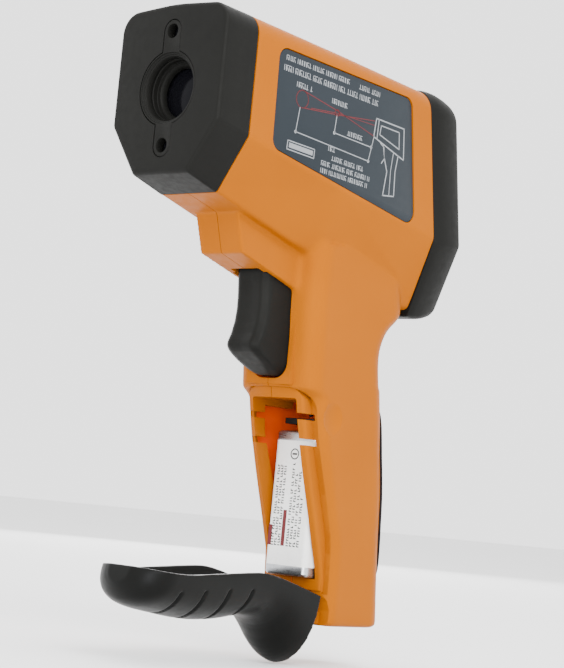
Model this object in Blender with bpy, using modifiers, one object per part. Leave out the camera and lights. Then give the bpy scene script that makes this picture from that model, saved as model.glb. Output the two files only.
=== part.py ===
"""Handheld infrared thermometer, pistol form, with its battery door swung open.

World frame: +X is the way the lens looks, +Y the left-hand side, +Z up.
The origin is the middle of the grip's flat base.  Dimensions are in millimetres
and are turned into metres as each mesh is made.
"""
import math

import bmesh
import bpy
from mathutils import Matrix, Vector

MM = 0.001
GAP = 0.3                 # clearance between pieces that touch
WALL = 2.4                # moulded wall

# ---- driving dimensions -------------------------------------------------------
FACE_X = 90.0             # front face of the nose
AXIS_Z = 157.0            # optical axis above the base
BEZEL_X = 76.3            # joint between front bezel and shells
TAIL_X = -8.0             # joint between shells and rear bezel, at the optical axis
REAR_X = -23.5            # rear face, at the optical axis
TAIL_LEAN = 0.18          # how far the rear leans, millimetre per millimetre of height

LASER_OFFSET = 17.4       # each laser from the optical axis
LASER_HOLE_R = 2.3
STRIP_HALF = 3.4          # half width of the optics plate's strip
RING_R = 11.3             # the optics plate's round middle
BORE_R = 9.6              # its bore

STEP_Z = 73.8             # top of the battery door's recess
BAY_TOP = 70.6            # battery opening, top and bottom
BAY_FLOOR = 14.4
BAY_HALF = 9.3            # half width of the battery opening
BAY_BACK = -9.85          # rear wall of the battery compartment
PAD_LOW, PAD_HIGH = 16.0, 64.0    # ends of the rubber pad on the grip's back
RECESS_HALF = 14.0        # half width of the door and its recess

BATTERY = (26.5, 17.5, 46.4)
BATTERY_FRONT = 17.1
HINGE_X, HINGE_Z = 19.0, 2.5
DOOR_OPEN = 74.5          # degrees that the door is swung open
SOLE_SLOPE = 5.5          # degrees that the door's sole falls towards its toe
HEEL_X = 9.7              # front of the shells below the door's heel

TRIGGER_X, TRIGGER_Z = 40.0, 112.5
TRIGGER_HALF = 7.0
SLOT_FRONT = 47.2         # front end of the trigger's slot under the snout

# height: front crown, front corner, half width, rear of the grip
GRIP_LOWER = (
    (0.0, 10.6, 11.2, 15.2, -20.0),
    (15.0, 11.4, 11.5, 15.4, -18.2),
    (26.0, 14.6, 12.4, 15.6, -17.0),
    (42.0, 21.4, 17.6, 15.9, -15.6),
    (57.0, 26.8, 22.8, 16.1, -13.1),
    (STEP_Z + 3.0, 31.8, 27.2, 16.3, -10.0),
)
GRIP_UPPER = (
    (STEP_Z, 33.4, 29.6, 16.3, -10.4),
    (88.0, 34.4, 31.0, 16.5, -7.7),
    (97.0, 35.0, 31.8, 16.7, -11.0),
    (102.0, 35.2, 32.0, 16.8, -16.2),
    (106.0, 35.2, 32.0, 16.8, -16.2),
    (120.0, 35.4, 32.0, 17.0, -13.6),
)
LOWER_CORNER_R, UPPER_CORNER_R = 3.2, 6.5    # the grip's front corners, below and above the step
# height, crown of the shut door's outer skin
DOOR_CROWN = (
    (-6.0, 33.6), (1.4, 32.9), (5.0, 31.0), (8.5, 28.2), (13.0, 25.4),
    (18.9, 24.3), (25.0, 26.4), (34.0, 30.2), (44.0, 33.1), (57.0, 35.1),
    (66.0, 36.0), (70.0, 35.0), (73.4, 31.6),
)
DOOR_TIP, DOOR_TIP_ROUND = 73.9, 11.5        # top of the shut door and the height of its rounding

ORANGE = (0.90, 0.27, 0.015)
BLACK = (0.022, 0.022, 0.024)


# ---- helpers ------------------------------------------------------------------
def collection(name):
    made = bpy.data.collections.new(name)
    bpy.context.scene.collection.children.link(made)
    return made


def material(name, colour, roughness=0.5, metallic=0.0, alpha=1.0):
    made = bpy.data.materials.new(name)
    made.use_nodes = True
    shader = made.node_tree.nodes["Principled BSDF"]
    shader.inputs["Base Color"].default_value = (*colour, 1.0)
    shader.inputs["Roughness"].default_value = roughness
    shader.inputs["Metallic"].default_value = metallic
    shader.inputs["Alpha"].default_value = alpha
    return made


def make_object(name, bm, place=None):
    """A new object from a bmesh in millimetres, placed by a matrix in millimetres."""
    bmesh.ops.recalc_face_normals(bm, faces=bm.faces)
    matrix = Matrix.Scale(MM, 4) @ (place or Matrix.Identity(4))
    bmesh.ops.transform(bm, matrix=matrix, verts=bm.verts)
    mesh = bpy.data.meshes.new(name)
    bm.to_mesh(mesh)
    bm.free()
    made = bpy.data.objects.new(name, mesh)
    bpy.context.scene.collection.objects.link(made)
    return made


def box(name, low, high, bevel=0.0, place=None):
    bm = bmesh.new()
    bmesh.ops.create_cube(bm, size=1.0)
    size = [h - l for l, h in zip(low, high)]
    middle = [(h + l) / 2.0 for l, h in zip(low, high)]
    bmesh.ops.scale(bm, vec=size, verts=bm.verts)
    bmesh.ops.translate(bm, vec=middle, verts=bm.verts)
    if bevel:
        bmesh.ops.bevel(bm, geom=bm.edges[:], offset=bevel, segments=2, affect="EDGES", profile=0.5)
    return make_object(name, bm, place)


def cylinder(name, radius, start, end, sides=24, place=None, radius_end=None):
    """A cylinder or cone between two points."""
    start, end = Vector(start), Vector(end)
    run = end - start
    bm = bmesh.new()
    bmesh.ops.create_cone(bm, cap_ends=True, segments=sides, radius1=radius,
                          radius2=radius if radius_end is None else radius_end, depth=run.length)
    turn = run.to_track_quat("Z", "Y").to_matrix().to_4x4()
    bmesh.ops.transform(bm, matrix=Matrix.Translation((start + end) / 2.0) @ turn, verts=bm.verts)
    return make_object(name, bm, place)


def ball(name, radius, centre):
    bm = bmesh.new()
    bmesh.ops.create_uvsphere(bm, u_segments=24, v_segments=12, radius=radius)
    bmesh.ops.translate(bm, vec=centre, verts=bm.verts)
    return make_object(name, bm)


def rounded(corners, steps=4):
    """Points of a closed outline whose corners (u, v, radius) are arcs of equal step counts."""
    points = []
    count = len(corners)
    for index, (u, v, radius) in enumerate(corners):
        here = Vector((u, v))
        before = (Vector(corners[index - 1][:2]) - here).normalized()
        after = (Vector(corners[(index + 1) % count][:2]) - here).normalized()
        half = before.angle(after) / 2.0
        reach = radius / math.tan(half)
        middle = here + (before + after).normalized() * (radius / math.sin(half))
        first = (here + before * reach - middle).normalized()
        last = (here + after * reach - middle).normalized()
        for step in range(steps + 1):
            points.append(middle + first.slerp(last, step / steps) * radius)
    return points


def loft(name, rings, place=None):
    """A closed solid through rings of equally many points."""
    bm = bmesh.new()
    rows = [[bm.verts.new(point) for point in ring] for ring in rings]
    for low, high in zip(rows, rows[1:]):
        for index in range(len(low)):
            following = (index + 1) % len(low)
            bm.faces.new((low[index], low[following], high[following], high[index]))
    bm.faces.new(rows[0][::-1])
    bm.faces.new(rows[-1])
    bmesh.ops.remove_doubles(bm, verts=bm.verts, dist=0.001)
    return make_object(name, bm, place)


def plate(name, outline, low, high, axis="Y", place=None):
    """A flat outline of (u, v) points, extruded along one axis."""
    curve = bpy.data.curves.new(name, "CURVE")
    curve.dimensions = "2D"
    curve.fill_mode = "BOTH"
    curve.extrude = (high - low) / 2.0 * MM
    spline = curve.splines.new("POLY")
    spline.points.add(len(outline) - 1)
    for point, (u, v) in zip(spline.points, outline):
        point.co = (u * MM, v * MM, 0.0, 1.0)
    spline.use_cyclic_u = True
    flat = bpy.data.objects.new(name, curve)
    bpy.context.scene.collection.objects.link(flat)
    columns = {"X": ((0, 1, 0), (0, 0, 1), (1, 0, 0)),
               "Y": ((1, 0, 0), (0, 0, 1), (0, -1, 0)),
               "Z": ((1, 0, 0), (0, 1, 0), (0, 0, 1))}[axis]
    turn = Matrix(columns).transposed().to_4x4()
    middle = (low + high) / 2.0 * (-1.0 if axis == "Y" else 1.0)
    stand = Matrix.Translation(turn @ Vector((0.0, 0.0, middle * MM)))
    frame = Matrix.Scale(MM, 4) @ (place or Matrix.Identity(4)) @ Matrix.Scale(1.0 / MM, 4)
    flat.matrix_world = frame @ stand @ turn
    return as_mesh(flat, name)


def as_mesh(source, name, weld=True):
    """The evaluated object as a plain mesh object without modifiers; a curve's caps are welded."""
    bpy.context.view_layer.update()
    seen = source.evaluated_get(bpy.context.evaluated_depsgraph_get())
    mesh = bpy.data.meshes.new_from_object(seen)
    mesh.transform(source.matrix_world)
    bm = bmesh.new()
    bm.from_mesh(mesh)
    if weld:
        bmesh.ops.remove_doubles(bm, verts=bm.verts, dist=2e-6)
    bmesh.ops.triangulate(bm, faces=bm.faces)
    bmesh.ops.recalc_face_normals(bm, faces=bm.faces)
    bm.to_mesh(mesh)
    bm.free()
    bpy.data.objects.remove(source)
    mesh.name = name
    made = bpy.data.objects.new(name, mesh)
    bpy.context.scene.collection.objects.link(made)
    return made


def combine(base, operation, *others):
    """Base with each other solid joined, cut away or intersected in turn, as one plain mesh object."""
    name = base.name
    for other in others:
        step = base.modifiers.new(other.name, "BOOLEAN")
        step.operation = operation
        step.solver = "EXACT"
        step.object = other
        base = as_mesh(base, name, weld=False)
        bpy.data.objects.remove(other)
    return base


def duplicate(source, name):
    made = bpy.data.objects.new(name, source.data.copy())
    bpy.context.scene.collection.objects.link(made)
    return made


def finish(source, name, skin, group, axis_point=None):
    """Name, colour and file a finished piece; a moving piece's origin goes on its axis."""
    source.name = name
    source.data.name = name
    source.data.materials.clear()
    source.data.materials.append(skin)
    source.data.shade_smooth()
    source.data.set_sharp_from_angle(angle=math.radians(35.0))
    if axis_point is not None:
        shift = Vector(axis_point) * MM
        source.data.transform(Matrix.Translation(-shift))
        source.location = shift
    for holder in source.users_collection:
        holder.objects.unlink(source)
    group.objects.link(source)
    return source


def between(table, height):
    """A row of the table at a height, by straight interpolation."""
    for low, high in zip(table, table[1:]):
        if height <= high[0]:
            break
    share = (height - low[0]) / (high[0] - low[0])
    return [a + (b - a) * share for a, b in zip(low, high)][1:]


# ---- outlines of the body -----------------------------------------------------
def side_y(x):
    """Half width of the head at a distance along X."""
    return 22.3 + 0.027 * (FACE_X - x)


def head_outline(x, inset=0.0):
    """Outline of the head across X as (y, z): crowned top, upright sides, keel below.

    The keel falls towards the rear and turns up again past the rear joint."""
    back, behind = FACE_X - x, max(0.0, TAIL_X - x)
    top = AXIS_Z + 26.0 - 0.056 * back - 0.08 * behind - inset
    side = side_y(x) - inset
    knee = 146.6 - 0.2 * back + 0.24 * behind + 0.35 * inset
    keel_half = 11.6 + 0.015 * back - 0.5 * inset
    keel = 131.3 - 0.29 * back + 0.44 * behind + inset
    shoulder = top - 1.4
    big = max(6.8 - inset, 2.0)
    keel_r = 1.5 + 0.22 * behind
    return rounded([
        (0.0, top, 80.0), (-side, shoulder, big), (-side, knee, 2.5), (-keel_half, keel, keel_r),
        (keel_half, keel, keel_r), (side, knee, 2.5), (side, shoulder, big)])


def head_ring(x, lean=0.0, inset=0.0):
    return [(x + lean * (z - AXIS_Z), y, z) for y, z in head_outline(x, inset)]


def grip_ring(row, inset, corner_r):
    height, crown, corner, half, rear = row
    crown, corner, half, rear = crown - inset, corner - inset, half - inset, rear + inset
    front_r = max(corner_r - inset, 1.0)
    outline = rounded([
        (crown, 0.0, 30.0), (corner, half, front_r), (rear + 2.0, half - 0.6, 8.0),
        (rear, 0.0, 30.0), (rear + 2.0, 0.6 - half, 8.0), (corner, -half, front_r)])
    return [(x, y, height) for x, y in outline]


def head_solid(name, inset=0.0, front=BEZEL_X, tail=TAIL_X):
    middle = (front + tail) / 2.0
    return loft(name, [head_ring(front, 0.0, inset), head_ring(middle, TAIL_LEAN / 2.0, inset),
                       head_ring(tail, TAIL_LEAN, inset)])


def grip_solid(name, table, inset=0.0, low=None, high=None):
    rows = [list(row) for row in table]
    if low is not None:
        rows[0][0] = low
    if high is not None:
        rows[-1][0] = high
    corner_r = UPPER_CORNER_R if table is GRIP_UPPER else LOWER_CORNER_R
    return loft(name, [grip_ring(row, inset, corner_r) for row in rows])


def snout_solid(name, inset=0.0):
    """The housing under the nose that the trigger hangs from, its front edges chamfered."""
    half = 9.0 - inset

    def profile(trim, y):
        front, sole = inset + trim, inset + 0.8 * trim
        return [(x, y, z) for x, z in (
            (67.0 - front, 134.0), (63.8 - front, 124.5), (59.8 - front, 112.0 + sole),
            (41.0, 106.6 + sole), (34.0, 104.4 + sole), (24.0, 104.4 + sole), (24.0, 134.0))]

    return loft(name, [profile(1.9, -half), profile(0.5, 1.1 - half), profile(0.0, 2.4 - half),
                       profile(0.0, half - 2.4), profile(0.5, half - 1.1), profile(1.9, half)])


def body_outside():
    return combine(head_solid("outside"), "UNION", grip_solid("lower", GRIP_LOWER),
                   grip_solid("upper", GRIP_UPPER), snout_solid("snout"))


def body_inside():
    """The room inside the shells, open to both bezels."""
    head = head_solid("inside", WALL, BEZEL_X + 4.0, TAIL_X - 4.0)
    lower = grip_solid("room_low", GRIP_LOWER, WALL, low=WALL)
    upper = grip_solid("room_high", GRIP_UPPER, WALL, low=STEP_Z - 6.0)
    return combine(head, "UNION", lower, upper, snout_solid("room_snout", WALL - 0.2))


# ---- screws that hold the two shells together ---------------------------------
SCREWS = (("screw_nose", 54.0, 167.0), ("screw_tail", -1.2, 168.0), ("screw_shoulder", -3.0, 118.0),
          ("screw_grip", -4.4, 82.0), ("screw_base", -8.0, 7.0))
SCREW_HEAD = 2.6
SCREW_SHANK = 1.3
BOSS_R = 3.4


def side_depth(x, z):
    """Half width of the body at a screw."""
    if z > 125.0:
        return side_y(x)
    if z > 110.0:
        return 19.0
    return between(GRIP_LOWER, z)[2] if z < STEP_Z else between(GRIP_UPPER, z)[2]


def inner_works():
    """Bosses, battery bay plates and ribs, each long enough to reach into the walls."""
    works = [box("bay_floor", (-18.0, -20.0, BAY_FLOOR - 2.2), (HEEL_X + 7.0, 20.0, BAY_FLOOR)),
             box("bay_roof", (-18.0, -20.0, BAY_TOP), (31.5, 20.0, BAY_TOP + 2.0)),
             box("heel_wall", (HEEL_X - 2.2, -20.0, 1.0), (HEEL_X + 2.0, 20.0, BAY_FLOOR - 1.1))]
    for height in (22.0, 33.0, 44.0, 54.5):
        for side in (-1.0, 1.0):
            low, high = sorted((side * BAY_HALF, side * 20.0))
            works.append(box("rib", (-18.0, low, height), (10.0, high, height + 1.4)))
    for name, x, z in SCREWS:
        works.append(cylinder("boss_" + name, BOSS_R, (x, -30.0, z), (x, 30.0, z), 16))
    return works


def split_half(whole, side):
    low, high = (GAP / 2.0, 60.0) if side > 0 else (-60.0, -GAP / 2.0)
    return combine(duplicate(whole, "half"), "INTERSECT", box("half_space", (-80, low, -20), (140, high, 220)))


def dress_half(half, side):
    """Everything that differs between the two shells or repeats on each side."""
    cuts = []
    for name, x, z in SCREWS:
        deep = side_depth(x, z)
        if side > 0:
            cuts.append(cylinder("core", SCREW_SHANK + GAP, (x, -1.0, z), (x, deep - 4.0, z), 12))
        else:
            cuts.append(cylinder("clear", SCREW_SHANK + GAP, (x, 1.0, z), (x, -deep, z), 12))
            cuts.append(cylinder("sink", SCREW_HEAD + GAP, (x, 6.0 - deep, z), (x, -deep - 6.0, z), 16))
    for height in (65.2, 57.2):
        outer = 13.0 if side > 0 else 17.5
        corner = between(GRIP_LOWER, height)[1]
        low, high = sorted((side * (BAY_HALF - 1.0), side * outer))
        cuts.append(box("notch", (corner - 2.6, low, height - 1.1), (corner + 12.0, high, height + 1.1)))
    cuts.append(ball("thumb_dimple", 14.0, (19.5, side * (16.1 + 13.2), 65.0)))
    cuts.append(label_plate("label_pocket", side, 1.1, 0.4, 6.0))
    return combine(half, "DIFFERENCE", *cuts)


def build_shells(group, skin):
    room = combine(body_inside(), "DIFFERENCE", *inner_works())
    heel = box("heel", (HEEL_X, -30.0, -5.0), (60.0, 30.0, BAY_FLOOR - 3.4))
    body = combine(combine(body_outside(), "DIFFERENCE", heel), "DIFFERENCE", room)
    cuts = [
        box("bay", (BAY_BACK, -BAY_HALF, BAY_FLOOR + 0.2), (50.0, BAY_HALF, BAY_TOP - 0.2)),
        box("wire_way", (4.0, -4.0, BAY_TOP - 1.0), (14.0, 4.0, BAY_TOP + 4.0)),
        box("trigger_slot", (25.0, -TRIGGER_HALF - GAP, 76.2), (SLOT_FRONT, TRIGGER_HALF + GAP, 110.0)),
        pad_region("pad_pocket", 1.3, 0.3),
    ]
    body = combine(body, "DIFFERENCE", *cuts)
    body = combine(body, "UNION", box("tongue", (HEEL_X - 1.5, -10.5, 0.6), (HINGE_X, 10.5, 4.2)),
                   cylinder("knuckle", 2.3, (HINGE_X, -10.7, HINGE_Z), (HINGE_X, 10.7, HINGE_Z)),
                   cylinder("pivot_boss", 3.2, (TRIGGER_X, -8.0, TRIGGER_Z), (TRIGGER_X, 8.0, TRIGGER_Z), 16))
    body = combine(body, "DIFFERENCE",
                   cylinder("hinge_bore", 1.3, (HINGE_X, -12.0, HINGE_Z), (HINGE_X, 12.0, HINGE_Z), 16),
                   box("pivot_room", (TRIGGER_X - 9.0, -6.0, TRIGGER_Z - 9.0),
                       (TRIGGER_X + 9.0, 6.0, TRIGGER_Z + 6.0)),
                   cylinder("pivot_bore", 1.3, (TRIGGER_X, -8.1, TRIGGER_Z), (TRIGGER_X, 8.1, TRIGGER_Z), 16))
    for name, side in (("left_shell", 1.0), ("right_shell", -1.0)):
        finish(dress_half(split_half(body, side), side), name, skin, group)
    bpy.data.objects.remove(body)


def build_screws(group, skin):
    for name, x, z in SCREWS:
        deep = side_depth(x, z)
        seat = 6.0 - deep - GAP
        head = cylinder(name, SCREW_HEAD, (x, seat, z), (x, seat - 1.8, z), 16)
        shank = cylinder("shank", SCREW_SHANK, (x, seat - 0.5, z), (x, min(deep - 5.0, 9.0), z), 12)
        screw = combine(head, "UNION", shank)
        cross = [box("cross", (x - a, seat - 2.5, z - b), (x + a, seat - 0.9, z + b))
                 for a, b in ((1.5, 0.35), (0.35, 1.5))]
        finish(combine(screw, "DIFFERENCE", *cross), name, skin, group)


# ---- side labels and rear pad ---------------------------------------------------
def label_plate(name, side, depth, grow, lift):
    """A rounded panel that lies in the head's side, from depth below its surface."""
    corners = [(66.7 + grow, 173.4 + grow), (4.1 - grow, 170.8 + grow),
               (-2.6 - grow, 130.4 - grow), (66.0 + grow, 142.9 - grow)]
    outline = rounded([(x, z, 3.0 + grow) for x, z in corners], 5)
    rings = []
    for level in (-depth, lift):
        rings.append([(x, side * (side_y(x) + level), z) for x, z in outline])
    return loft(name, rings)


def build_labels(group, skin):
    for name, side in (("left_label", 1.0), ("right_label", -1.0)):
        finish(label_plate(name, side, 0.8, 0.0, -0.3), name, skin, group)


def pad_region(name, depth, grow):
    """The part of the grip's back that the rubber pad covers, deeper than depth."""
    region = box(name, (-40.0, -8.0 - grow, PAD_LOW - grow), (0.0, 8.0 + grow, PAD_HIGH + grow))
    return combine(region, "DIFFERENCE", grip_solid("pad_core", GRIP_LOWER, depth))


def build_pad(group, skin):
    pad = combine(pad_region("grip_pad", 1.0, 0.0), "INTERSECT", grip_solid("pad_skin", GRIP_LOWER, -0.9))
    finish(pad, "grip_pad", skin, group)


# ---- nose -----------------------------------------------------------------------
def optics_outline(grow):
    """A disc with a round-ended strip through it, as (y, z)."""
    radius, strip = RING_R + grow, STRIP_HALF + grow
    meet = math.asin(strip / radius)
    points = []
    for turn in (0.0, math.pi):
        for step in range(15):
            angle = meet + (math.pi - 2.0 * meet) * step / 14 - math.pi / 2.0 + turn
            points.append((radius * math.cos(angle), AXIS_Z + radius * math.sin(angle)))
        for step in range(9):
            angle = math.pi * step / 8 + turn
            points.append((strip * math.cos(angle),
                           AXIS_Z + (LASER_OFFSET if turn == 0.0 else -LASER_OFFSET)
                           + strip * math.sin(angle)))
    return points


def laser_axis_bores(radius, start, end, sides=20):
    return [cylinder("laser_bore", radius, (start, 0.0, AXIS_Z + offset), (end, 0.0, AXIS_Z + offset), sides)
            for offset in (LASER_OFFSET, -LASER_OFFSET)]


def build_nose(group, skins):
    bezel = loft("front_bezel", [head_ring(BEZEL_X + GAP), head_ring(FACE_X - 0.8), head_ring(FACE_X, 0.0, 0.8)])
    lip = loft("bezel_lip", [head_ring(BEZEL_X - 3.0, 0.0, WALL + GAP), head_ring(BEZEL_X + 4.0, 0.0, WALL + GAP)])
    room = loft("bezel_room", [head_ring(BEZEL_X - 4.0, 0.0, WALL + 2.0), head_ring(FACE_X - 3.4, 0.0, WALL + 2.0)])
    bezel = combine(combine(bezel, "UNION", lip), "DIFFERENCE", room,
                    plate("optics_opening", optics_outline(0.35), 80.0, 95.0, "X"))
    finish(bezel, "front_bezel", skins["black"], group)

    front = plate("optics_plate", optics_outline(0.0), FACE_X - 3.0, FACE_X, "X")
    front = combine(front, "DIFFERENCE",
                    cylinder("bore", BORE_R, (80.0, 0.0, AXIS_Z), (95.0, 0.0, AXIS_Z), 40),
                    cylinder("recess", BORE_R, (FACE_X - 1.4, 0.0, AXIS_Z), (FACE_X + 0.2, 0.0, AXIS_Z), 40,
                             radius_end=RING_R - 0.2),
                    *laser_axis_bores(LASER_HOLE_R, 80.0, 95.0))
    finish(front, "optics_plate", skins["black"], group)

    frame = loft("optics_frame", [head_ring(75.2, 0.0, WALL + 2.4), head_ring(78.6, 0.0, WALL + 2.4)])
    frame = combine(frame, "DIFFERENCE", cylinder("tube_bore", 10.9, (60.0, 0.0, AXIS_Z), (95.0, 0.0, AXIS_Z), 32),
                    *laser_axis_bores(3.3, 60.0, 95.0))
    finish(frame, "optics_frame", skins["dark"], group)

    finish(turned("lens_tube", [(86.6, 10.4), (66.0, 10.4), (66.0, 6.2), (68.0, 6.2), (68.0, 8.0), (78.4, 8.0),
                                (78.4, 9.2), (86.6, 9.2)]), "lens_tube", skins["black"], group)
    finish(turned("lens_ring", [(84.2, 8.9), (82.4, 8.9), (82.4, 7.6), (84.2, 8.2)]), "lens_ring",
           skins["dark"], group)
    lens = [(82.1, 0.0), (82.0, 3.0), (81.6, 6.0), (81.1, 8.9), (79.1, 8.9), (79.1, 0.0)]
    finish(turned("lens", lens), "lens", skins["lens"], group)
    sensor = combine(cylinder("infrared_sensor", 4.4, (61.2, 0.0, AXIS_Z), (61.9, 0.0, AXIS_Z)), "UNION",
                     cylinder("can", 4.0, (61.5, 0.0, AXIS_Z), (65.4, 0.0, AXIS_Z)))
    finish(sensor, "infrared_sensor", skins["steel"], group)
    finish(box("sensor_board", (59.3, -9.0, AXIS_Z - 9.0), (60.9, 9.0, AXIS_Z + 9.0)), "sensor_board",
           skins["board"], group)
    for name, offset in (("upper_laser", LASER_OFFSET), ("lower_laser", -LASER_OFFSET)):
        height = AXIS_Z + offset
        profile = [(84.5, 0.0), (84.5, 1.2), (86.5, 1.6), (86.5, 3.0), (71.0, 3.0), (71.0, 0.0)]
        finish(turned(name, profile, height), name, skins["brass"], group)


def turned(name, profile, height=AXIS_Z, sides=32):
    """A profile of (x, radius) points turned about an axis along X; it closes on itself or on the axis."""
    bm = bmesh.new()
    row = [bm.verts.new((x, 0.0, height + radius)) for x, radius in profile]
    edges = [bm.edges.new(pair) for pair in zip(row, row[1:])]
    if profile[0][1] > 0.0 or profile[-1][1] > 0.0:
        edges.append(bm.edges.new((row[-1], row[0])))
    bmesh.ops.spin(bm, geom=row + edges, cent=(0.0, 0.0, height), axis=(1.0, 0.0, 0.0),
                   angle=math.tau, steps=sides, use_merge=True)
    bmesh.ops.remove_doubles(bm, verts=bm.verts, dist=0.001)
    return make_object(name, bm)


# ---- rear bezel, display and keys ------------------------------------------------
def rear_frame(depth=0.0):
    """Matrix of the rear face: x to its right, y up its slope, z out of it, in millimetres."""
    out = Vector((-1.0, 0.0, TAIL_LEAN)).normalized()
    right = Vector((0.0, -1.0, 0.0))
    up = out.cross(right)
    centre = Vector((REAR_X, 0.0, AXIS_Z)) + out * depth
    return Matrix.Translation(centre) @ Matrix((right, up, out)).transposed().to_4x4()


WINDOW = (17.0, -8.0, 14.8)          # half width, bottom, top of the display opening
KEYS = (("key_down", -11.5, -17.5, 3.7, 2.9), ("key_mode", 0.0, -17.5, 4.4, 2.9),
        ("key_up", 11.5, -17.5, 3.7, 2.9), ("key_light", 0.0, -27.5, 5.2, 2.7))
KEY_TRAVEL = 0.8


def key_outline(x, y, half_x, half_y, grow):
    a, b = half_x + grow, half_y + grow
    return rounded([(x + a, y + b, b * 0.8), (x - a, y + b, b * 0.8), (x - a, y - b, b * 0.8),
                    (x + a, y - b, b * 0.8)])


def build_rear(group, skins):
    lean = TAIL_LEAN
    bezel = loft("rear_bezel", [head_ring(TAIL_X - GAP, lean), head_ring(-14.0, lean, -0.9),
                                head_ring(-20.5, lean, -0.3), head_ring(-22.8, lean, 0.9),
                                head_ring(REAR_X, lean, 2.5)])
    room = loft("rear_room", [head_ring(TAIL_X + 3.0, lean, WALL), head_ring(REAR_X + 2.6, lean, WALL + 0.8)])
    place = rear_frame()
    half, low, high = WINDOW
    cuts = [plate("window_opening", rounded([(half, high, 2.0), (-half, high, 2.0), (-half, low, 2.0),
                                             (half, low, 2.0)]), -6.0, 3.0, "Z", place)]
    for _, x, y, a, b in KEYS:
        cuts.append(plate("key_hole", key_outline(x, y, a, b, 0.35), -6.0, 3.0, "Z", place))
    finish(combine(bezel, "DIFFERENCE", room, *cuts), "rear_bezel", skins["black"], group)

    pane = rounded([(half - GAP, high - GAP, 1.8), (GAP - half, high - GAP, 1.8), (GAP - half, low + GAP, 1.8),
                    (half - GAP, low + GAP, 1.8)])
    finish(plate("display_window", pane, -2.0, -0.5, "Z", place), "display_window", skins["glass"], group)
    finish(box("display_module", (-16.0, low + 1.0, -5.6), (16.0, high - 1.0, -2.4), 0.0, place),
           "display_module", skins["lcd"], group)
    finish(box("display_board", (-18.0, -32.0, -7.6), (18.0, high, -6.0), 0.0, place), "display_board",
           skins["board"], group)
    for name, x, y, a, b in KEYS:
        cap = plate(name, key_outline(x, y, a, b, 0.0), -3.6, 0.9, "Z", place)
        soften = cap.modifiers.new("Soft edges", "BEVEL")
        soften.width = 0.5 * MM
        soften.segments = 2
        soften.limit_method = "ANGLE"
        soften.angle_limit = math.radians(60.0)
        cap = as_mesh(cap, name)
        centre = place @ Vector((x, y, 0.0))
        finish(cap, name, skins["rubber"], group, centre)


# ---- boards and buzzer -----------------------------------------------------------
def build_electronics(group, skins):
    board = box("main_board", (2.0, -9.0, 134.0), (52.0, -7.4, 163.0))
    finish(board, "main_board", skins["board"], group)
    finish(cylinder("buzzer", 6.0, (14.0, -7.1, 143.0), (14.0, -1.4, 143.0)), "buzzer", skins["dark"], group)
    finish(box("processor", (30.0, -7.1, 146.0), (40.0, -5.6, 156.0)), "processor", skins["dark"], group)
    finish(box("trigger_switch", (9.0, -3.2, 92.0), (20.0, 3.2, 99.0), 0.4), "trigger_switch",
           skins["dark"], group)


# ---- trigger ---------------------------------------------------------------------
def build_trigger(group, skins):
    face = [(46.0, 107.6), (45.4, 102.0), (45.2, 97.0), (45.7, 92.6), (46.8, 88.4), (48.0, 85.6)]
    foot = [(47.4, 83.9), (43.6, 82.0), (39.6, 80.0), (35.8, 77.9), (33.4, 77.4), (31.2, 80.2)]
    back = [(30.2, 86.0), (30.2, 104.0), (36.4, 112.0)]
    crest = [(TRIGGER_X + 3.6 * math.cos(math.radians(a)), TRIGGER_Z + 3.6 * math.sin(math.radians(a)))
             for a in (180.0, 135.0, 90.0, 45.0, 0.0)]
    trigger = plate("trigger", face + foot + back[:2] + crest, -TRIGGER_HALF, TRIGGER_HALF)
    soften = trigger.modifiers.new("Soft edges", "BEVEL")
    soften.width = 1.6 * MM
    soften.segments = 3
    soften.limit_method = "ANGLE"
    soften.angle_limit = math.radians(60.0)
    trigger = as_mesh(trigger, "trigger")
    narrow = [box("cheek", (TRIGGER_X - 12.0, s * 5.6 if s > 0 else -9.0, 107.4),
                  (TRIGGER_X + 12.0, 9.0 if s > 0 else s * 5.6, 120.0)) for s in (1.0, -1.0)]
    trigger = combine(trigger, "DIFFERENCE", *narrow,
                      cylinder("pin_bore", 1.3, (TRIGGER_X, -9.0, TRIGGER_Z), (TRIGGER_X, 9.0, TRIGGER_Z), 16))
    finish(trigger, "trigger", skins["black"], group, (TRIGGER_X, 0.0, TRIGGER_Z))
    finish(cylinder("trigger_pin", 1.0, (TRIGGER_X, -7.6, TRIGGER_Z), (TRIGGER_X, 7.6, TRIGGER_Z), 16),
           "trigger_pin", skins["steel"], group)
    finish(coil("trigger_spring", (20.8, 0.0, 86.0), 9.0, 2.2, 0.35, 5), "trigger_spring", skins["steel"], group)


def coil(name, start, length, radius, wire, turns):
    """A compression spring along X."""
    curve = bpy.data.curves.new(name, "CURVE")
    curve.dimensions = "3D"
    curve.bevel_depth = wire * MM
    curve.bevel_resolution = 1
    curve.use_fill_caps = True
    spline = curve.splines.new("POLY")
    count = turns * 10 + 1
    spline.points.add(count - 1)
    for index, point in enumerate(spline.points):
        share = index / (count - 1)
        angle = math.tau * turns * share
        place = Vector((start[0] + length * share, start[1] + radius * math.cos(angle),
                        start[2] + radius * math.sin(angle))) * MM
        point.co = (*place, 1.0)
    made = bpy.data.objects.new(name, curve)
    bpy.context.scene.collection.objects.link(made)
    return as_mesh(made, name)


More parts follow.
